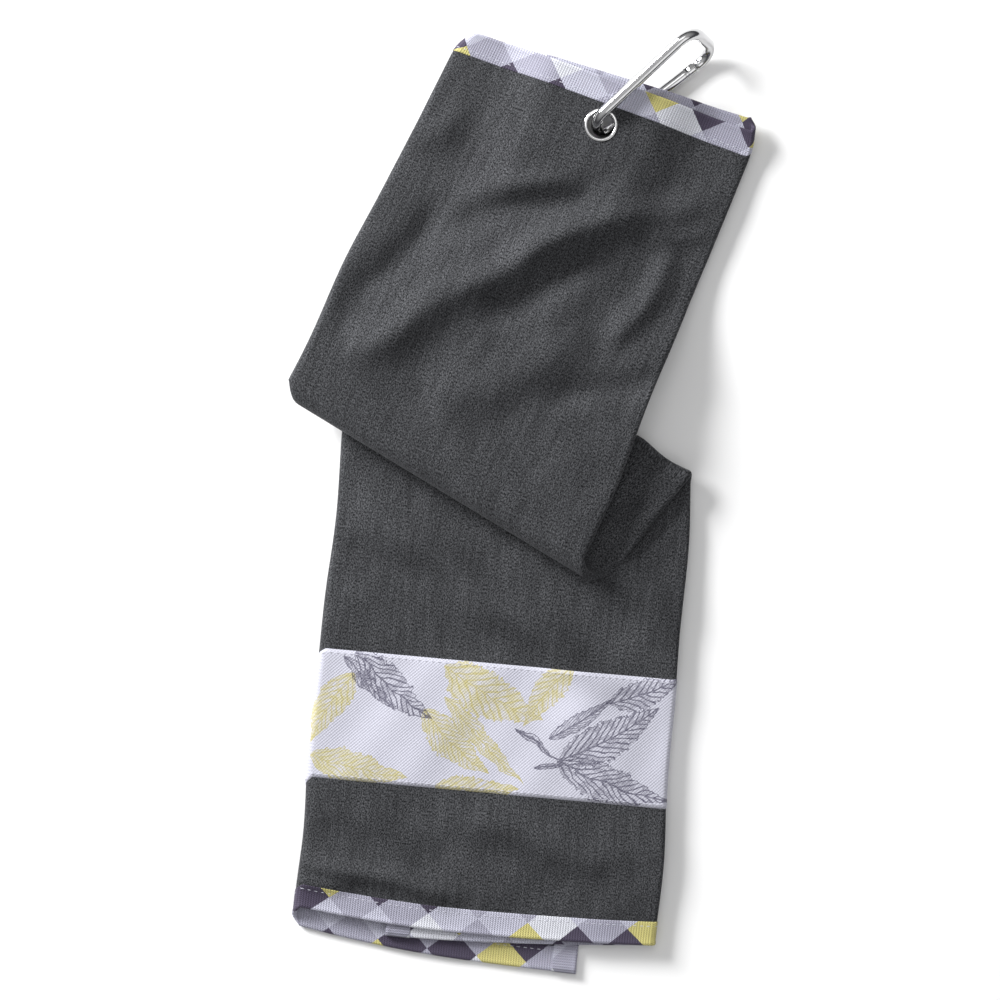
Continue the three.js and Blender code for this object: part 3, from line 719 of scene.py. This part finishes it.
def leaf_group():
    """One leaf in its own frame: outputs how much of it is fill, and how much is drawn line."""
    tree = bpy.data.node_groups.new("leaf", "ShaderNodeTree")
    for name in ("Place", "BaseX", "BaseY", "Angle", "Length", "Width", "Veins"):
        kind = "NodeSocketVector" if name == "Place" else "NodeSocketFloat"
        tree.interface.new_socket(name, in_out="INPUT", socket_type=kind)
    for name in ("Fill", "Line"):
        tree.interface.new_socket(name, in_out="OUTPUT", socket_type="NodeSocketFloat")
    nodes = Nodes(tree)
    given = nodes.add("NodeGroupInput").outputs
    x, y, _ = nodes.split(given["Place"])
    dx = nodes.minus(x, given["BaseX"])
    dy = nodes.minus(y, given["BaseY"])
    cosine = nodes.math("COSINE", given["Angle"])
    sine = nodes.math("SINE", given["Angle"])
    along = nodes.plus(nodes.times(dx, cosine), nodes.times(dy, sine))
    across = nodes.minus(nodes.times(dy, cosine), nodes.times(dx, sine))
    t = nodes.math("DIVIDE", along, given["Length"])
    bow = nodes.times(nodes.math("SINE", nodes.times(t, math.pi)), 0.12)
    across = nodes.minus(across, nodes.times(bow, given["Width"]))
    inside_t = nodes.times(nodes.math("GREATER_THAN", t, 0.0), nodes.math("LESS_THAN", t, 1.0))
    eased = nodes.math("POWER", nodes.math("MAXIMUM", t, 0.0), 0.72)
    half = nodes.math("SINE", nodes.times(eased, math.pi))
    half = nodes.times(nodes.times(half, given["Width"]), 0.5)
    wobble = nodes.remap(nodes.noise(given["Place"], 0.55, 1.0), 0.3, 0.7, 0.86, 1.12)
    half = nodes.math("MAXIMUM", nodes.times(half, wobble), 0.001)
    distance = nodes.math("ABSOLUTE", across)
    reach = nodes.math("DIVIDE", distance, half)
    fill = nodes.times(inside_t, nodes.math("LESS_THAN", reach, 1.0))
    edge = nodes.math("LESS_THAN", nodes.minus(half, distance), 0.38)
    midrib = nodes.math("LESS_THAN", distance, 0.34)
    spread = nodes.math("DIVIDE", distance, given["Width"])
    phase = nodes.minus(t, nodes.times(spread, 0.55))
    phase = nodes.math("FRACT", nodes.times(phase, given["Veins"]))
    vein = nodes.math("LESS_THAN", phase, 0.3)
    hatch_phase = nodes.math("FRACT", nodes.times(nodes.plus(t, spread), 31.0))
    hatch_zone = nodes.math("GREATER_THAN", nodes.noise(given["Place"], 0.22, 1.0), 0.5)
    hatch = nodes.times(nodes.math("LESS_THAN", hatch_phase, 0.4), hatch_zone)
    lines = nodes.math("MAXIMUM", nodes.math("MAXIMUM", edge, midrib), nodes.math("MAXIMUM", vein, hatch))
    result = nodes.add("NodeGroupOutput")
    tree.links.new(fill, result.inputs["Fill"])
    tree.links.new(nodes.times(lines, fill), result.inputs["Line"])
    return tree


# Leaves on the band, in mm from the front's left edge and from the band's top edge:
# base x, base y, tip x, tip y, width, number of veins.
YELLOW_LEAVES = [
    (16, 10, 0, 41, 14, 9),
    (0, 47, 44, 53, 14, 12),
    (48, 23, 79, 49, 15, 13),
    (57, 16, 95, 52, 9, 12),
    (55, 3, 101, 23, 20, 10),
    (111, -2, 93, 26, 13, 9),
    (56, 56, 93, 54, 12, 9),
    (166, 20, 196, 38, 18, 10),
]
DARK_LEAVES = [
    (16, 0, 52, 27, 16, 12),
    (11, 2, 36, 25, 7, 12),
    (110, 40, 152, 12, 17, 13),
    (104, 31, 131, 10, 7, 12),
    (129, 13, 160, -2, 13, 9),
    (109, 40, 159, 54, 17, 13),
    (89, 27, 111, 40, 2.6, 3),
    (99, 44, 113, 41, 3, 4),
]
FRONT_LEFT = -78.5
BAND_MIDDLE = 207.8
BAND_REPEAT = 176.0


def band_material():
    """Pale canvas printed with loose yellow and dark line-drawn leaves."""
    material, nodes, shader = new_material("band_canvas")
    place = flat_millimetres(nodes)
    u, v, _ = nodes.split(place)
    turned = nodes.plus(nodes.minus(u, BAND_MIDDLE), BAND_REPEAT / 2)
    wrapped = nodes.math("FLOORED_MODULO", turned, BAND_REPEAT)
    x = nodes.minus(wrapped, BAND_REPEAT / 2)
    y = nodes.minus(v, BAND_TOP / MM)
    wander = nodes.noise(nodes.combine(x, y), 0.12, 2.0)
    wander = nodes.times(nodes.minus(wander, 0.5), 4.0)
    drawn = nodes.combine(nodes.plus(x, wander), nodes.minus(y, wander))
    group = leaf_group()

    def leaves(rows):
        fill, line = 0.0, 0.0
        for base_x, base_y, tip_x, tip_y, width, veins in rows:
            run, rise = tip_x - base_x, tip_y - base_y
            leaf = nodes.add("ShaderNodeGroup", node_tree=group)
            nodes.feed(leaf, {
                "Place": drawn, "BaseX": base_x + FRONT_LEFT, "BaseY": base_y, "Width": width,
                "Angle": math.atan2(rise, run), "Length": math.hypot(run, rise), "Veins": veins})
            fill = nodes.math("MAXIMUM", leaf.outputs["Fill"], fill)
            line = nodes.math("MAXIMUM", leaf.outputs["Line"], line)
        return fill, line

    yellow_fill, yellow_line = leaves(YELLOW_LEAVES)
    dark_fill, dark_line = leaves(DARK_LEAVES)
    blot = nodes.remap(nodes.noise(nodes.combine(x, y), 0.16, 4.0, 0.65), 0.32, 0.62)
    grain = nodes.remap(nodes.noise(nodes.combine(x, y), 0.9, 2.0, 0.6), 0.3, 0.7, 0.6, 1.0)
    yellow_amount = nodes.times(nodes.times(yellow_fill, blot), 0.75)
    line_amount = nodes.times(nodes.times(yellow_line, grain), 0.85)
    colour = nodes.mix(yellow_amount, BAND_GROUND, LEAF_YELLOW)
    colour = nodes.mix(line_amount, colour, LEAF_YELLOW_LINE)
    colour = nodes.mix(nodes.times(dark_fill, 0.1), colour, DARK_PURPLE)
    dark_amount = nodes.times(nodes.times(dark_line, grain), 0.92)
    colour = nodes.mix(dark_amount, colour, LEAF_DARK_LINE)
    weave = weave_height(nodes, place, 1.5, 1.5)
    fine = nodes.noise(place, 1.6, 2.0)
    # Painted shade: the colour darkens in the gaps of the weave; the fine noise adds random tone.
    shade = nodes.plus(nodes.times(weave, 0.7), nodes.times(fine, 0.3))
    shade = nodes.remap(shade, 0.0, 1.0, 0.78, 1.12)
    nodes.feed(shader, {
        "Base Color": nodes.dimmed(colour, shade), "Roughness": 0.8, "Specular IOR Level": 0.25})
    link_bump(nodes, shader, weave, 0.55, 0.0003)
    return material


def thread_material():
    material, nodes, shader = new_material("sewing_thread")
    place = nodes.scaled(nodes.add("ShaderNodeNewGeometry").outputs["Position"], (1000.0,) * 3)
    # Painted light and shade: the thread's colour moves between a shaded and a lit tone along its twist,
    # which also gives the bump.
    twist_relief_and_shade = nodes.noise(place, 3.5, 2.0)
    colour = nodes.mix(twist_relief_and_shade, THREAD_SHADE, THREAD_LIGHT)
    nodes.feed(shader, {"Base Color": colour, "Roughness": 0.6})
    link_bump(nodes, shader, twist_relief_and_shade, 0.4, 0.0001)
    return material


def steel_material(name, tone, low, high):
    """Polished plate with faint handling marks in its gloss."""
    material, nodes, shader = new_material(name)
    place = nodes.add("ShaderNodeTexCoord").outputs["Object"]
    marks = nodes.noise(nodes.scaled(place, (900.0, 900.0, 2600.0)), 1.0, 4.0, 0.7)
    haze = nodes.noise(nodes.scaled(place, (120.0,) * 3), 1.0, 2.0)
    blend = nodes.plus(nodes.times(marks, 0.5), nodes.times(haze, 0.5))
    roughness = nodes.remap(blend, 0.35, 0.65, low, high)
    colour = nodes.mix(haze, (tone * 0.93, tone * 0.93, tone * 0.95, 1), (tone, tone, tone, 1))
    nodes.feed(shader, {"Base Color": colour, "Roughness": roughness, "Metallic": 1.0})
    link_bump(nodes, shader, marks, 0.05, 0.00004)
    return material


velour = velour_material()
tape = tape_material()
canvas = band_material()
thread = thread_material()
steel = steel_material("polished_steel", 0.62, 0.07, 0.17)
spring_steel = steel_material("spring_steel", 0.45, 0.25, 0.4)


# ---- Cloth ----

def finish_piece(obj, body, slot, *nodes):
    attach(obj, body)
    if nodes:
        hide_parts(*nodes)
    return obj


CLOTH_HOLE_RADIUS = 6.4 * MM
columns = column_functions()


def build_cloth():
    grid_v = np.stack([fine_rows(column) for column in columns], axis=1)
    grid_u = np.stack([column(grid_v[:, i]) for i, column in enumerate(columns)], axis=1)
    uv = np.stack([grid_u, grid_v], -1)
    top = towel_point(grid_u, grid_v, HALF_CLOTH)
    bottom = towel_point(grid_u, grid_v, -HALF_CLOTH)
    cloth = solid_between("towel_velour", top, bottom, uv, velour)
    low, high = (np.array(corner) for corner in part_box("grommet_eyelet"))
    centre = (low + high) / 2
    work = bmesh.new()
    bmesh.ops.create_cone(
        work, segments=48, radius1=CLOTH_HOLE_RADIUS, radius2=CLOTH_HOLE_RADIUS, depth=40 * MM, cap_ends=True,
    )
    cutter = link_solid("hole", work)
    cutter.location = (centre[0], centre[1], UPPER_HEIGHT)
    bpy.context.view_layer.update()
    cut_away(cloth, cutter)
    return cloth


# ---- Bindings ----

ROLL_CREST = 0.9 * MM
EDGE = -0.45 * MM
OVERHANG = 0.6 * MM
SIDE_PRINT_SHIFT = 37 * MM


def tape_profile(reach):
    """The tape's outer face as (inset, offset), from its edge on the front round the fold to the back."""
    points = [(reach, TAPE_OUTER - 0.06 * MM), (reach - 0.5 * MM, TAPE_OUTER)]
    points += [(inset, TAPE_OUTER) for inset in np.linspace(reach - 1.5 * MM, 2.2 * MM, 6)]
    points += [(1.5 * MM, 1.02 * MM), (ROLL_CREST, 1.14 * MM), (0.1 * MM, 1.1 * MM)]
    points += [(-0.3 * MM, 0.75 * MM), (EDGE, 0.3 * MM)]
    return points + [(inset, -offset) for inset, offset in reversed(points)]


def inner_profile(profile):
    """The same points moved in by the tape's thickness."""
    inner = []
    for inset, offset in profile:
        depth = math.copysign(min(TAPE_INNER, abs(offset)), offset)
        inner.append((max(inset, EDGE + 0.25 * MM), depth * (0.9 if inset < 0 else 1.0)))
    return inner


def signed_inset(profile):
    """Places across the flat tape for its print: above zero on the front, below on the back."""
    return np.array([math.copysign(1, offset) * (inset + OVERHANG) for inset, offset in profile])


def fold_tape(name, node, along, line_points):
    """Tape folded over an edge; line_points gives the points along it at one inset and offset."""
    profile = tape_profile(TAPE_WIDTH)
    outer, inner = (
        np.stack([line_points(inset, offset) for inset, offset in section], axis=1)
        for section in (profile, inner_profile(profile))
    )
    uv = np.stack(np.broadcast_arrays(along[:, None], signed_inset(profile)[None, :]), -1)
    binding = solid_between(name, outer, inner, uv, tape)
    return finish_piece(binding, "towel", "binding_tape", node)


def build_hem(name, node, edge_v, inward):
    def across_at(v):
        return np.array([float(column(np.array(v))) for column in columns[1:-1]])

    def line_points(inset, offset):
        v = edge_v + inward * inset
        return towel_point(across_at(v), v, offset)

    return fold_tape(name, node, across_at(edge_v), line_points)


def lap(v):
    """How far a side binding stands out where it laps over the hems."""
    to_end = np.minimum(v, TOWEL_LENGTH - v)
    return LAP_RISE * smooth((TAPE_WIDTH + LAP_EASE - to_end) / LAP_EASE)


def build_side(name, node, edge_u, inward):
    middle_u = edge_u + inward * TAPE_WIDTH / 2
    rows_v = fine_rows(lambda v: 0 * v + middle_u)
    rows_v = np.concatenate([[-OVERHANG], rows_v[1:-1], [TOWEL_LENGTH + OVERHANG]])

    def line_points(inset, offset):
        return towel_point(edge_u + inward * inset, rows_v, offset + np.sign(offset) * lap(rows_v))

    return fold_tape(name, node, rows_v + SIDE_PRINT_SHIFT, line_points)


# ---- Band ----

def build_band():
    band_columns = columns[2:-2]
    band_rows = np.linspace(BAND_TOP, BAND_BOTTOM, 30)
    grid_v = np.repeat(band_rows[:, None], len(band_columns), axis=1)
    grid_u = np.stack([column(grid_v[:, i]) for i, column in enumerate(band_columns)], axis=1)
    edge = np.minimum(grid_v - BAND_TOP, BAND_BOTTOM - grid_v)
    lift = TAPE_OUTER - 0.12 * MM * (1 - smooth(edge / (1.5 * MM)))
    uv = np.stack([grid_u, grid_v], -1)
    top = towel_point(grid_u, grid_v, lift)
    bottom = towel_point(grid_u, grid_v, TAPE_INNER - 0.06 * MM)
    band = solid_between("band_print", top, bottom, uv, canvas)
    return finish_piece(band, "towel", "band_canvas", "printed_band")


# ---- Stitches ----

STITCH_PITCH = 3.0 * MM
STITCH_LENGTH = 2.1 * MM
STITCH_RADIUS = 0.17 * MM
STITCH_INSET = 2.1 * MM
BAND_STITCH_INSET = 1.6 * MM


def stitch_template(rings=5, sides=6):
    """A short plump stitch along +X that dips at both ends."""
    points = []
    for k in range(rings):
        t = k / (rings - 1)
        swell = math.sin(math.pi * (0.12 + 0.76 * t))
        for j in range(sides):
            angle = 2 * math.pi * j / sides
            points.append((
                (t - 0.5) * STITCH_LENGTH,
                STITCH_RADIUS * swell * math.cos(angle),
                STITCH_RADIUS * swell * math.sin(angle) - 0.25 * MM * (2 * t - 1) ** 2,
            ))
    return np.array(points), tube_faces(rings, sides)


def build_stitches(name, us, vs, along_u, offset):
    """One row of stitches over the folded towel; the sign of offset says which face it is on."""
    node = f"{name}_thread"
    step = 0.4 * MM
    here = towel_point(us, vs, offset)
    ahead = towel_point(us + step * along_u, vs + step * (1 - along_u), offset)
    outward = towel_point(us, vs, offset + math.copysign(step, offset)) - here
    tangent = ahead - here
    tangent /= np.linalg.norm(tangent, axis=1)[:, None]
    outward /= np.linalg.norm(outward, axis=1)[:, None]
    side = np.cross(outward, tangent)
    template, template_faces = stitch_template()
    points = here[:, None, :] \
        + template[None, :, 0, None] * tangent[:, None, :] \
        + template[None, :, 1, None] * side[:, None, :] \
        + template[None, :, 2, None] * outward[:, None, :]
    faces = []
    for k in range(len(here)):
        base = k * len(template)
        faces += [tuple(base + i for i in face) for face in template_faces]
    stitches = new_mesh_object(f"{name}_stitches", points, faces, thread)
    return finish_piece(stitches, "towel", "sewing_thread", node)


def spaced(start, end):
    count = int((end - start) / STITCH_PITCH)
    return start + (np.arange(count) + 0.5) * (end - start) / count


def build_all_stitches():
    across = spaced(0.4 * MM, TOWEL_WIDTH - 0.4 * MM)
    down = spaced(0.4 * MM, TOWEL_LENGTH - 0.4 * MM)
    inner = across[(across > TAPE_WIDTH) & (across < TOWEL_WIDTH - TAPE_WIDTH)]
    hem_inset = TAPE_WIDTH - STITCH_INSET
    face = TAPE_OUTER + 0.06 * MM
    for side, sign in (("needle", 1), ("bobbin", -1)):
        offset = sign * face
        for edge, v in (("top", hem_inset), ("bottom", TOWEL_LENGTH - hem_inset)):
            build_stitches(f"{edge}_binding_{side}", across, v, 1.0, offset)
        for edge, u in (("left", hem_inset), ("right", TOWEL_WIDTH - hem_inset)):
            build_stitches(f"{edge}_binding_{side}", u, down, 0.0, offset)
        band_face = face if sign > 0 else -(HALF_CLOTH + 0.06 * MM)
        for edge, v in (("upper", BAND_TOP + BAND_STITCH_INSET), ("lower", BAND_BOTTOM - BAND_STITCH_INSET)):
            build_stitches(f"band_{edge}_{side}", inner, v, 1.0, band_face)


# ---- Grommet ----

def lathe(name, profile, centre, material, segments=96):
    """A closed ring from (radius, z) points that go round its section."""
    count = len(profile)
    points = []
    for k in range(segments):
        angle = 2 * math.pi * k / segments
        outward = np.array([math.cos(angle), math.sin(angle), 0.0])
        points += [centre + radius * outward + (0, 0, z) for radius, z in profile]
    faces = []
    for k in range(segments):
        for j in range(count):
            a = k * count + j
            b = k * count + (j + 1) % count
            c = ((k + 1) % segments) * count + (j + 1) % count
            d = ((k + 1) % segments) * count + j
            faces.append((a, b, c, d))
    return new_mesh_object(name, points, faces, material)


def arc_points(centre_r, centre_z, radius, start, end, count):
    return [
        (centre_r + radius * math.cos(angle), centre_z + radius * math.sin(angle))
        for angle in np.radians(np.linspace(start, end, count))
    ]


BORE_RADIUS = 5.8 * MM
BARREL_WALL = 0.45 * MM


def build_grommet():
    low, high = (np.array(corner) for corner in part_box("grommet_eyelet"))
    washer_low, washer_high = (np.array(corner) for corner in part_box("grommet_washer"))
    centre = (low + high) / 2 * (1, 1, 0)
    bore = BORE_RADIUS
    rim = (high[0] - low[0]) / 2
    top = high[2]
    base = top - 0.45 * MM
    barrel = bore + BARREL_WALL
    profile = arc_points(bore + 0.75 * MM, base - 0.15 * MM, 0.75 * MM, 180, 90, 8)
    profile += arc_points(rim - 0.35 * MM, base + 0.2 * MM, 0.33 * MM, 80, -90, 7)
    profile += [(barrel, base - 0.12 * MM), (barrel, low[2] + 0.5 * MM)]
    profile += arc_points(barrel + 0.62 * MM, low[2] + 0.25 * MM, 0.24 * MM, 90, -90, 6)
    profile += arc_points(bore + 0.5 * MM, low[2] + 0.5 * MM, 0.5 * MM, -90, -180, 6)
    eyelet = lathe("grommet_eyelet_rolled", profile, centre, steel)
    finish_piece(eyelet, "towel", "polished_steel", "grommet_eyelet")
    back, front = washer_low[2], washer_high[2]
    outer = (washer_high[0] - washer_low[0]) / 2
    ring = [(barrel + 0.1 * MM, front), (barrel + 0.1 * MM, back + 0.05 * MM)]
    ring += arc_points(outer - 0.2 * MM, back + 0.2 * MM, 0.2 * MM, -90, 60, 6)
    ring += [(outer - 0.05 * MM, front)]
    washer = lathe("grommet_washer_disc", ring, centre, steel)
    finish_piece(washer, "towel", "polished_steel", "grommet_washer")


# ---- Carabiner ----

WIRE_RADIUS = 2.5 * MM
SMALL_END = 8.5 * MM
BIG_END = 8 * MM
BIG_END_X = 44 * MM
BIG_END_Y = 17 * MM
PIVOT_INSET = 6.2 * MM
NOSE_INSET = 4.6 * MM
SPINE_AZIMUTH = math.radians(42.3)
SPINE_RISE = math.radians(10)
TONGUE_HALF_HEIGHT = 1.9 * MM
TONGUE_HALF = 0.8 * MM
SLOT_HALF = 1.05 * MM
SLOT_REACH = 4 * MM
PIN_RADIUS = 0.8 * MM
LATCH_PIN_RADIUS = 0.75 * MM
PIN_HALF_LENGTH = 2.4 * MM

joints = {joint["name"]: joint for joint in frame["record"]["behaviour"]["joints"]}
ring_normal = -Vector(joints["gate_open"]["axis"]).normalized()
pivot_place = Vector(joints["gate_open"]["pos_m"])
spine_axis = Vector((
    math.cos(SPINE_AZIMUTH) * math.cos(SPINE_RISE),
    math.sin(SPINE_AZIMUTH) * math.cos(SPINE_RISE),
    math.sin(SPINE_RISE),
))
gate_axis = ring_normal.cross(spine_axis)
gate_angle = math.atan2(BIG_END_Y + BIG_END - 2 * SMALL_END, BIG_END_X)
gate_along = Vector((math.cos(gate_angle), math.sin(gate_angle)))
gate_out = Vector((-gate_along.y, gate_along.x))
gate_foot = Vector((0, SMALL_END)) + gate_out * SMALL_END
gate_head = Vector((BIG_END_X, BIG_END_Y)) + gate_out * BIG_END
pivot = gate_foot + gate_along * PIVOT_INSET
nose = gate_head - gate_along * NOSE_INSET
gate_tip = nose + gate_along * 2.2 * MM
ring_matrix = Matrix((spine_axis, gate_axis, ring_normal)).transposed().to_4x4()
ring_matrix.translation = pivot_place - (ring_matrix @ Vector((pivot.x, pivot.y, 0)))


def in_ring(x, y, z):
    return ring_matrix @ Vector((x, y, z))


def arc_path(centre, radius, start, end, count):
    return [
        centre + radius * Vector((math.cos(a), math.sin(a)))
        for a in np.linspace(start, end, count)
    ]


def body_path():
    quarter = math.pi / 2
    start = pivot - gate_along * (WIRE_RADIUS + 0.5 * MM)
    end = gate_tip + gate_along * 0.4 * MM
    path = [start, (start + gate_foot) / 2]
    path += arc_path(Vector((0, SMALL_END)), SMALL_END, quarter + gate_angle, 3 * quarter, 40)
    path += [Vector((BIG_END_X * k / 16, 0)) for k in range(1, 16)]
    path += arc_path(Vector((BIG_END_X, BIG_END)), BIG_END, -quarter, 0, 22)
    path += arc_path(Vector((BIG_END_X, BIG_END_Y)), BIG_END, 0, quarter + gate_angle, 26)
    path += [(gate_head + end) / 2, end]
    return path


def sweep(name, path, radii, material, sides=32):
    """A round wire of varying radius along a flat path in the ring's plane, closed at both ends."""
    count = len(path)
    points = []
    for k, (place, radius) in enumerate(zip(path, radii)):
        before, after = path[max(k - 1, 0)], path[min(k + 1, count - 1)]
        direction = (after - before).normalized()
        across = Vector((-direction.y, direction.x))
        for j in range(sides):
            angle = 2 * math.pi * j / sides
            flat = place + across * radius * math.cos(angle)
            points.append(tuple(in_ring(flat.x, flat.y, radius * math.sin(angle))))
    return new_mesh_object(name, points, tube_faces(count, sides), material)


def rounded_ends(path, radius, rounding):
    """Radii along a path, eased down over its first and last stretch."""
    steps = [(b - a).length for a, b in zip(path, path[1:])]
    lengths = np.concatenate([[0.0], np.cumsum(steps)])
    nearest = np.minimum(lengths, lengths[-1] - lengths)
    fall = np.clip(1 - nearest / rounding, 0, 1)
    return [float(r) for r in radius - rounding * (1 - np.sqrt(1 - fall ** 2))]


def plate(name, outline, half_thickness, material=None):
    """A flat outline in the ring's plane, given a thickness."""
    work = bmesh.new()
    rings = [
        [work.verts.new(in_ring(p.x, p.y, depth)) for p in outline]
        for depth in (-half_thickness, half_thickness)
    ]
    count = len(outline)
    for k in range(count):
        after = (k + 1) % count
        work.faces.new([rings[0][k], rings[0][after], rings[1][after], rings[1][k]])
    work.faces.new(list(reversed(rings[0])))
    work.faces.new(rings[1])
    return link_solid(name, work, material)


def along_gate(place, distance):
    return place + gate_along * distance


def tongue(name, start, end):
    """A flat tongue with a round free end at its start."""
    height = TONGUE_HALF_HEIGHT
    outline = arc_path(start, height, gate_angle + math.pi / 2, gate_angle + 1.5 * math.pi, 14)
    outline += [end - gate_out * height, end + gate_out * height]
    return plate(name, outline, TONGUE_HALF, steel)


def cross_pin(name, place, radius, half_length, sides=28):
    """A pin across the ring's plane with domed heads."""
    shoulder = half_length - 0.1 * MM
    head = [(0.0, half_length + 0.12 * MM), (radius * 0.6, half_length + 0.08 * MM)]
    head += [(radius, shoulder)]
    turns = 2 * math.pi * np.arange(sides) / sides
    work = bmesh.new()
    rings = [
        [
            work.verts.new(in_ring(place.x + r * math.cos(a), place.y + r * math.sin(a), z))
            for a in (turns if r else turns[:1])
        ]
        for r, z in [(r, -z) for r, z in head] + head[::-1]
    ]
    for lower, upper in zip(rings, rings[1:]):
        for j in range(sides):
            k = (j + 1) % sides
            corners = [ring[i % len(ring)] for ring, i in ((lower, j), (lower, k), (upper, k), (upper, j))]
            work.faces.new(list(dict.fromkeys(corners)))
    return link_solid(name, work, steel, smooth_shading=True)


def build_carabiner():
    path = body_path()
    body = sweep("carabiner_wire", path, rounded_ends(path, WIRE_RADIUS, 0.5 * MM), steel)
    finish_piece(body, "carabiner", "polished_steel", "carabiner_body")
    pivot_tongue = tongue("carabiner_pivot_tongue", pivot, along_gate(pivot, -4 * MM))
    nose_tongue = tongue("carabiner_nose_tongue", along_gate(nose, -0.1 * MM), along_gate(nose, 4 * MM))
    for piece in (pivot_tongue, nose_tongue):
        finish_piece(piece, "carabiner", "polished_steel")


def build_gate():
    start = along_gate(pivot, -WIRE_RADIUS)
    grooves = [(0.0, 0.0), (0.4, 1.1), (0.9, 1.7), (1.6, 2.25), (2.5, 2.5), (24.0, 2.5)]
    length = (gate_tip - start).length / MM
    for before in (5.6, 4.2):
        place = length - before
        grooves += [(place, 2.5), (place + 0.2, 2.25), (place + 0.5, 2.25), (place + 0.7, 2.5)]
    grooves += [(length - 0.35, 2.5), (length, 2.15)]
    path = [along_gate(start, max(place, 0.02) * MM) for place, _ in grooves]
    radii = [max(radius, 0.05) * MM for _, radius in grooves]
    gate = sweep("gate_rod", path, radii, steel)
    slots = (
        (along_gate(pivot, -4 * MM), along_gate(pivot, 5 * MM)),
        (along_gate(nose, -3 * MM), along_gate(gate_tip, 2 * MM)),
    )
    reach = gate_out * SLOT_REACH
    for near, far in slots:
        cut_away(gate, plate("slot", [near - reach, far - reach, far + reach, near + reach], SLOT_HALF))
    for polygon in gate.data.polygons:
        polygon.use_smooth = True
    gate.data.set_sharp_from_angle(angle=math.radians(32))
    finish_piece(gate, "gate", "polished_steel", "carabiner_gate")
    pivot_pin = cross_pin("gate_rivet", pivot, PIN_RADIUS, PIN_HALF_LENGTH)
    finish_piece(pivot_pin, "gate", "polished_steel", "gate_pivot_pin")
    latch_pin = cross_pin("gate_latch_rivet", nose, LATCH_PIN_RADIUS, PIN_HALF_LENGTH)
    finish_piece(latch_pin, "gate", "polished_steel", "gate_latch_pin")


def dress_inner_nodes():
    """The spring and plunger keep their CAD shape and get their steels."""
    for node, material in (("gate_spring", spring_steel), ("gate_plunger", steel)):
        for slot in frame["nodes"][node].material_slots:
            slot.material = material


# ---- Make it all ----

cloth = build_cloth()
finish_piece(cloth, "towel", "velour", "towel_cloth")
hems = [
    build_hem("top_binding_tape", "top_binding", 0.0, 1),
    build_hem("bottom_binding_tape", "bottom_binding", TOWEL_LENGTH, -1),
]
sides = [
    build_side("left_binding_tape", "left_binding", 0.0, 1),
    build_side("right_binding_tape", "right_binding", TOWEL_WIDTH, -1),
]
band = build_band()
build_all_stitches()
build_grommet()
build_carabiner()
build_gate()
dress_inner_nodes()

# ---- Floor, light and camera ----

FLOOR_SIZE = 4.0
FLOOR_TONE = (0.87, 0.87, 0.87, 1)
FLOOR_TONE_LIGHT = (0.89, 0.89, 0.89, 1)
CAMERA_HEIGHT = 1.7
VIEW_WIDTH = 0.4405
VIEW_CENTRE = np.array([-8.37, 0.88]) * MM - PLAN_MIDDLE
SENSOR = 36.0
WORLD_STRENGTH = 0.6
WORLD_LOW = (0.12, 0.12, 0.13, 1)
WORLD_HIGH = (1, 1, 1, 1)


def build_floor():
    material, nodes, shader = new_material("floor")
    place = nodes.add("ShaderNodeTexCoord").outputs["Object"]
    tone = nodes.noise(place, 3.0, 1.0)
    colour = nodes.mix(tone, FLOOR_TONE, FLOOR_TONE_LIGHT)
    nodes.feed(shader, {"Base Color": colour, "Roughness": 0.9})
    half = FLOOR_SIZE / 2
    z = cad_box[0][2] - 0.1 * MM
    points = [(-half, -half, z), (half, -half, z), (half, half, z), (-half, half, z)]
    mesh = bpy.data.meshes.new("floor")
    mesh.from_pydata(points, [], [(0, 1, 2, 3)])
    floor = link_object("floor", mesh, material)


def area_light(name, place, target, size, energy):
    data = bpy.data.lights.new(name, "AREA")
    data.shape = "RECTANGLE"
    data.size, data.size_y = size
    data.energy = energy
    light = link_object(name, data)
    light.location = place
    direction = Vector(target) - Vector(place)
    light.rotation_euler = direction.to_track_quat("-Z", "Y").to_euler()


def build_light():
    area_light("key", (-1.2, 0.95, 0.75), (0, 0, 0), (0.7, 0.7), 62)
    area_light("fill", (1.2, -0.9, 1.6), (0, 0, 0), (1.4, 1.4), 6)
    area_light("top", (-0.1, 0.7, 1.9), (0, 0, 0), (1.2, 0.8), 5)
    world = bpy.data.worlds.new("studio")
    world.use_nodes = True
    nodes = Nodes(world.node_tree)
    height = nodes.split(nodes.add("ShaderNodeTexCoord").outputs["Generated"])[2]
    tone = nodes.mix(nodes.remap(height, 0.3, 0.95), WORLD_LOW, WORLD_HIGH)
    background = world.node_tree.nodes["Background"]
    nodes.feed(background, {0: tone, 1: WORLD_STRENGTH})
    bpy.context.scene.world = world


def build_camera():
    data = bpy.data.cameras.new("camera")
    data.sensor_width = SENSOR
    data.lens = SENSOR * CAMERA_HEIGHT / VIEW_WIDTH
    data.clip_end = 20
    camera = link_object("camera", data)
    camera.location = (VIEW_CENTRE[0], VIEW_CENTRE[1], CAMERA_HEIGHT + LOWER_HEIGHT)
    bpy.context.scene.camera = camera


build_floor()
build_light()
build_camera()
bpy.context.scene.view_settings.view_transform = "Standard"
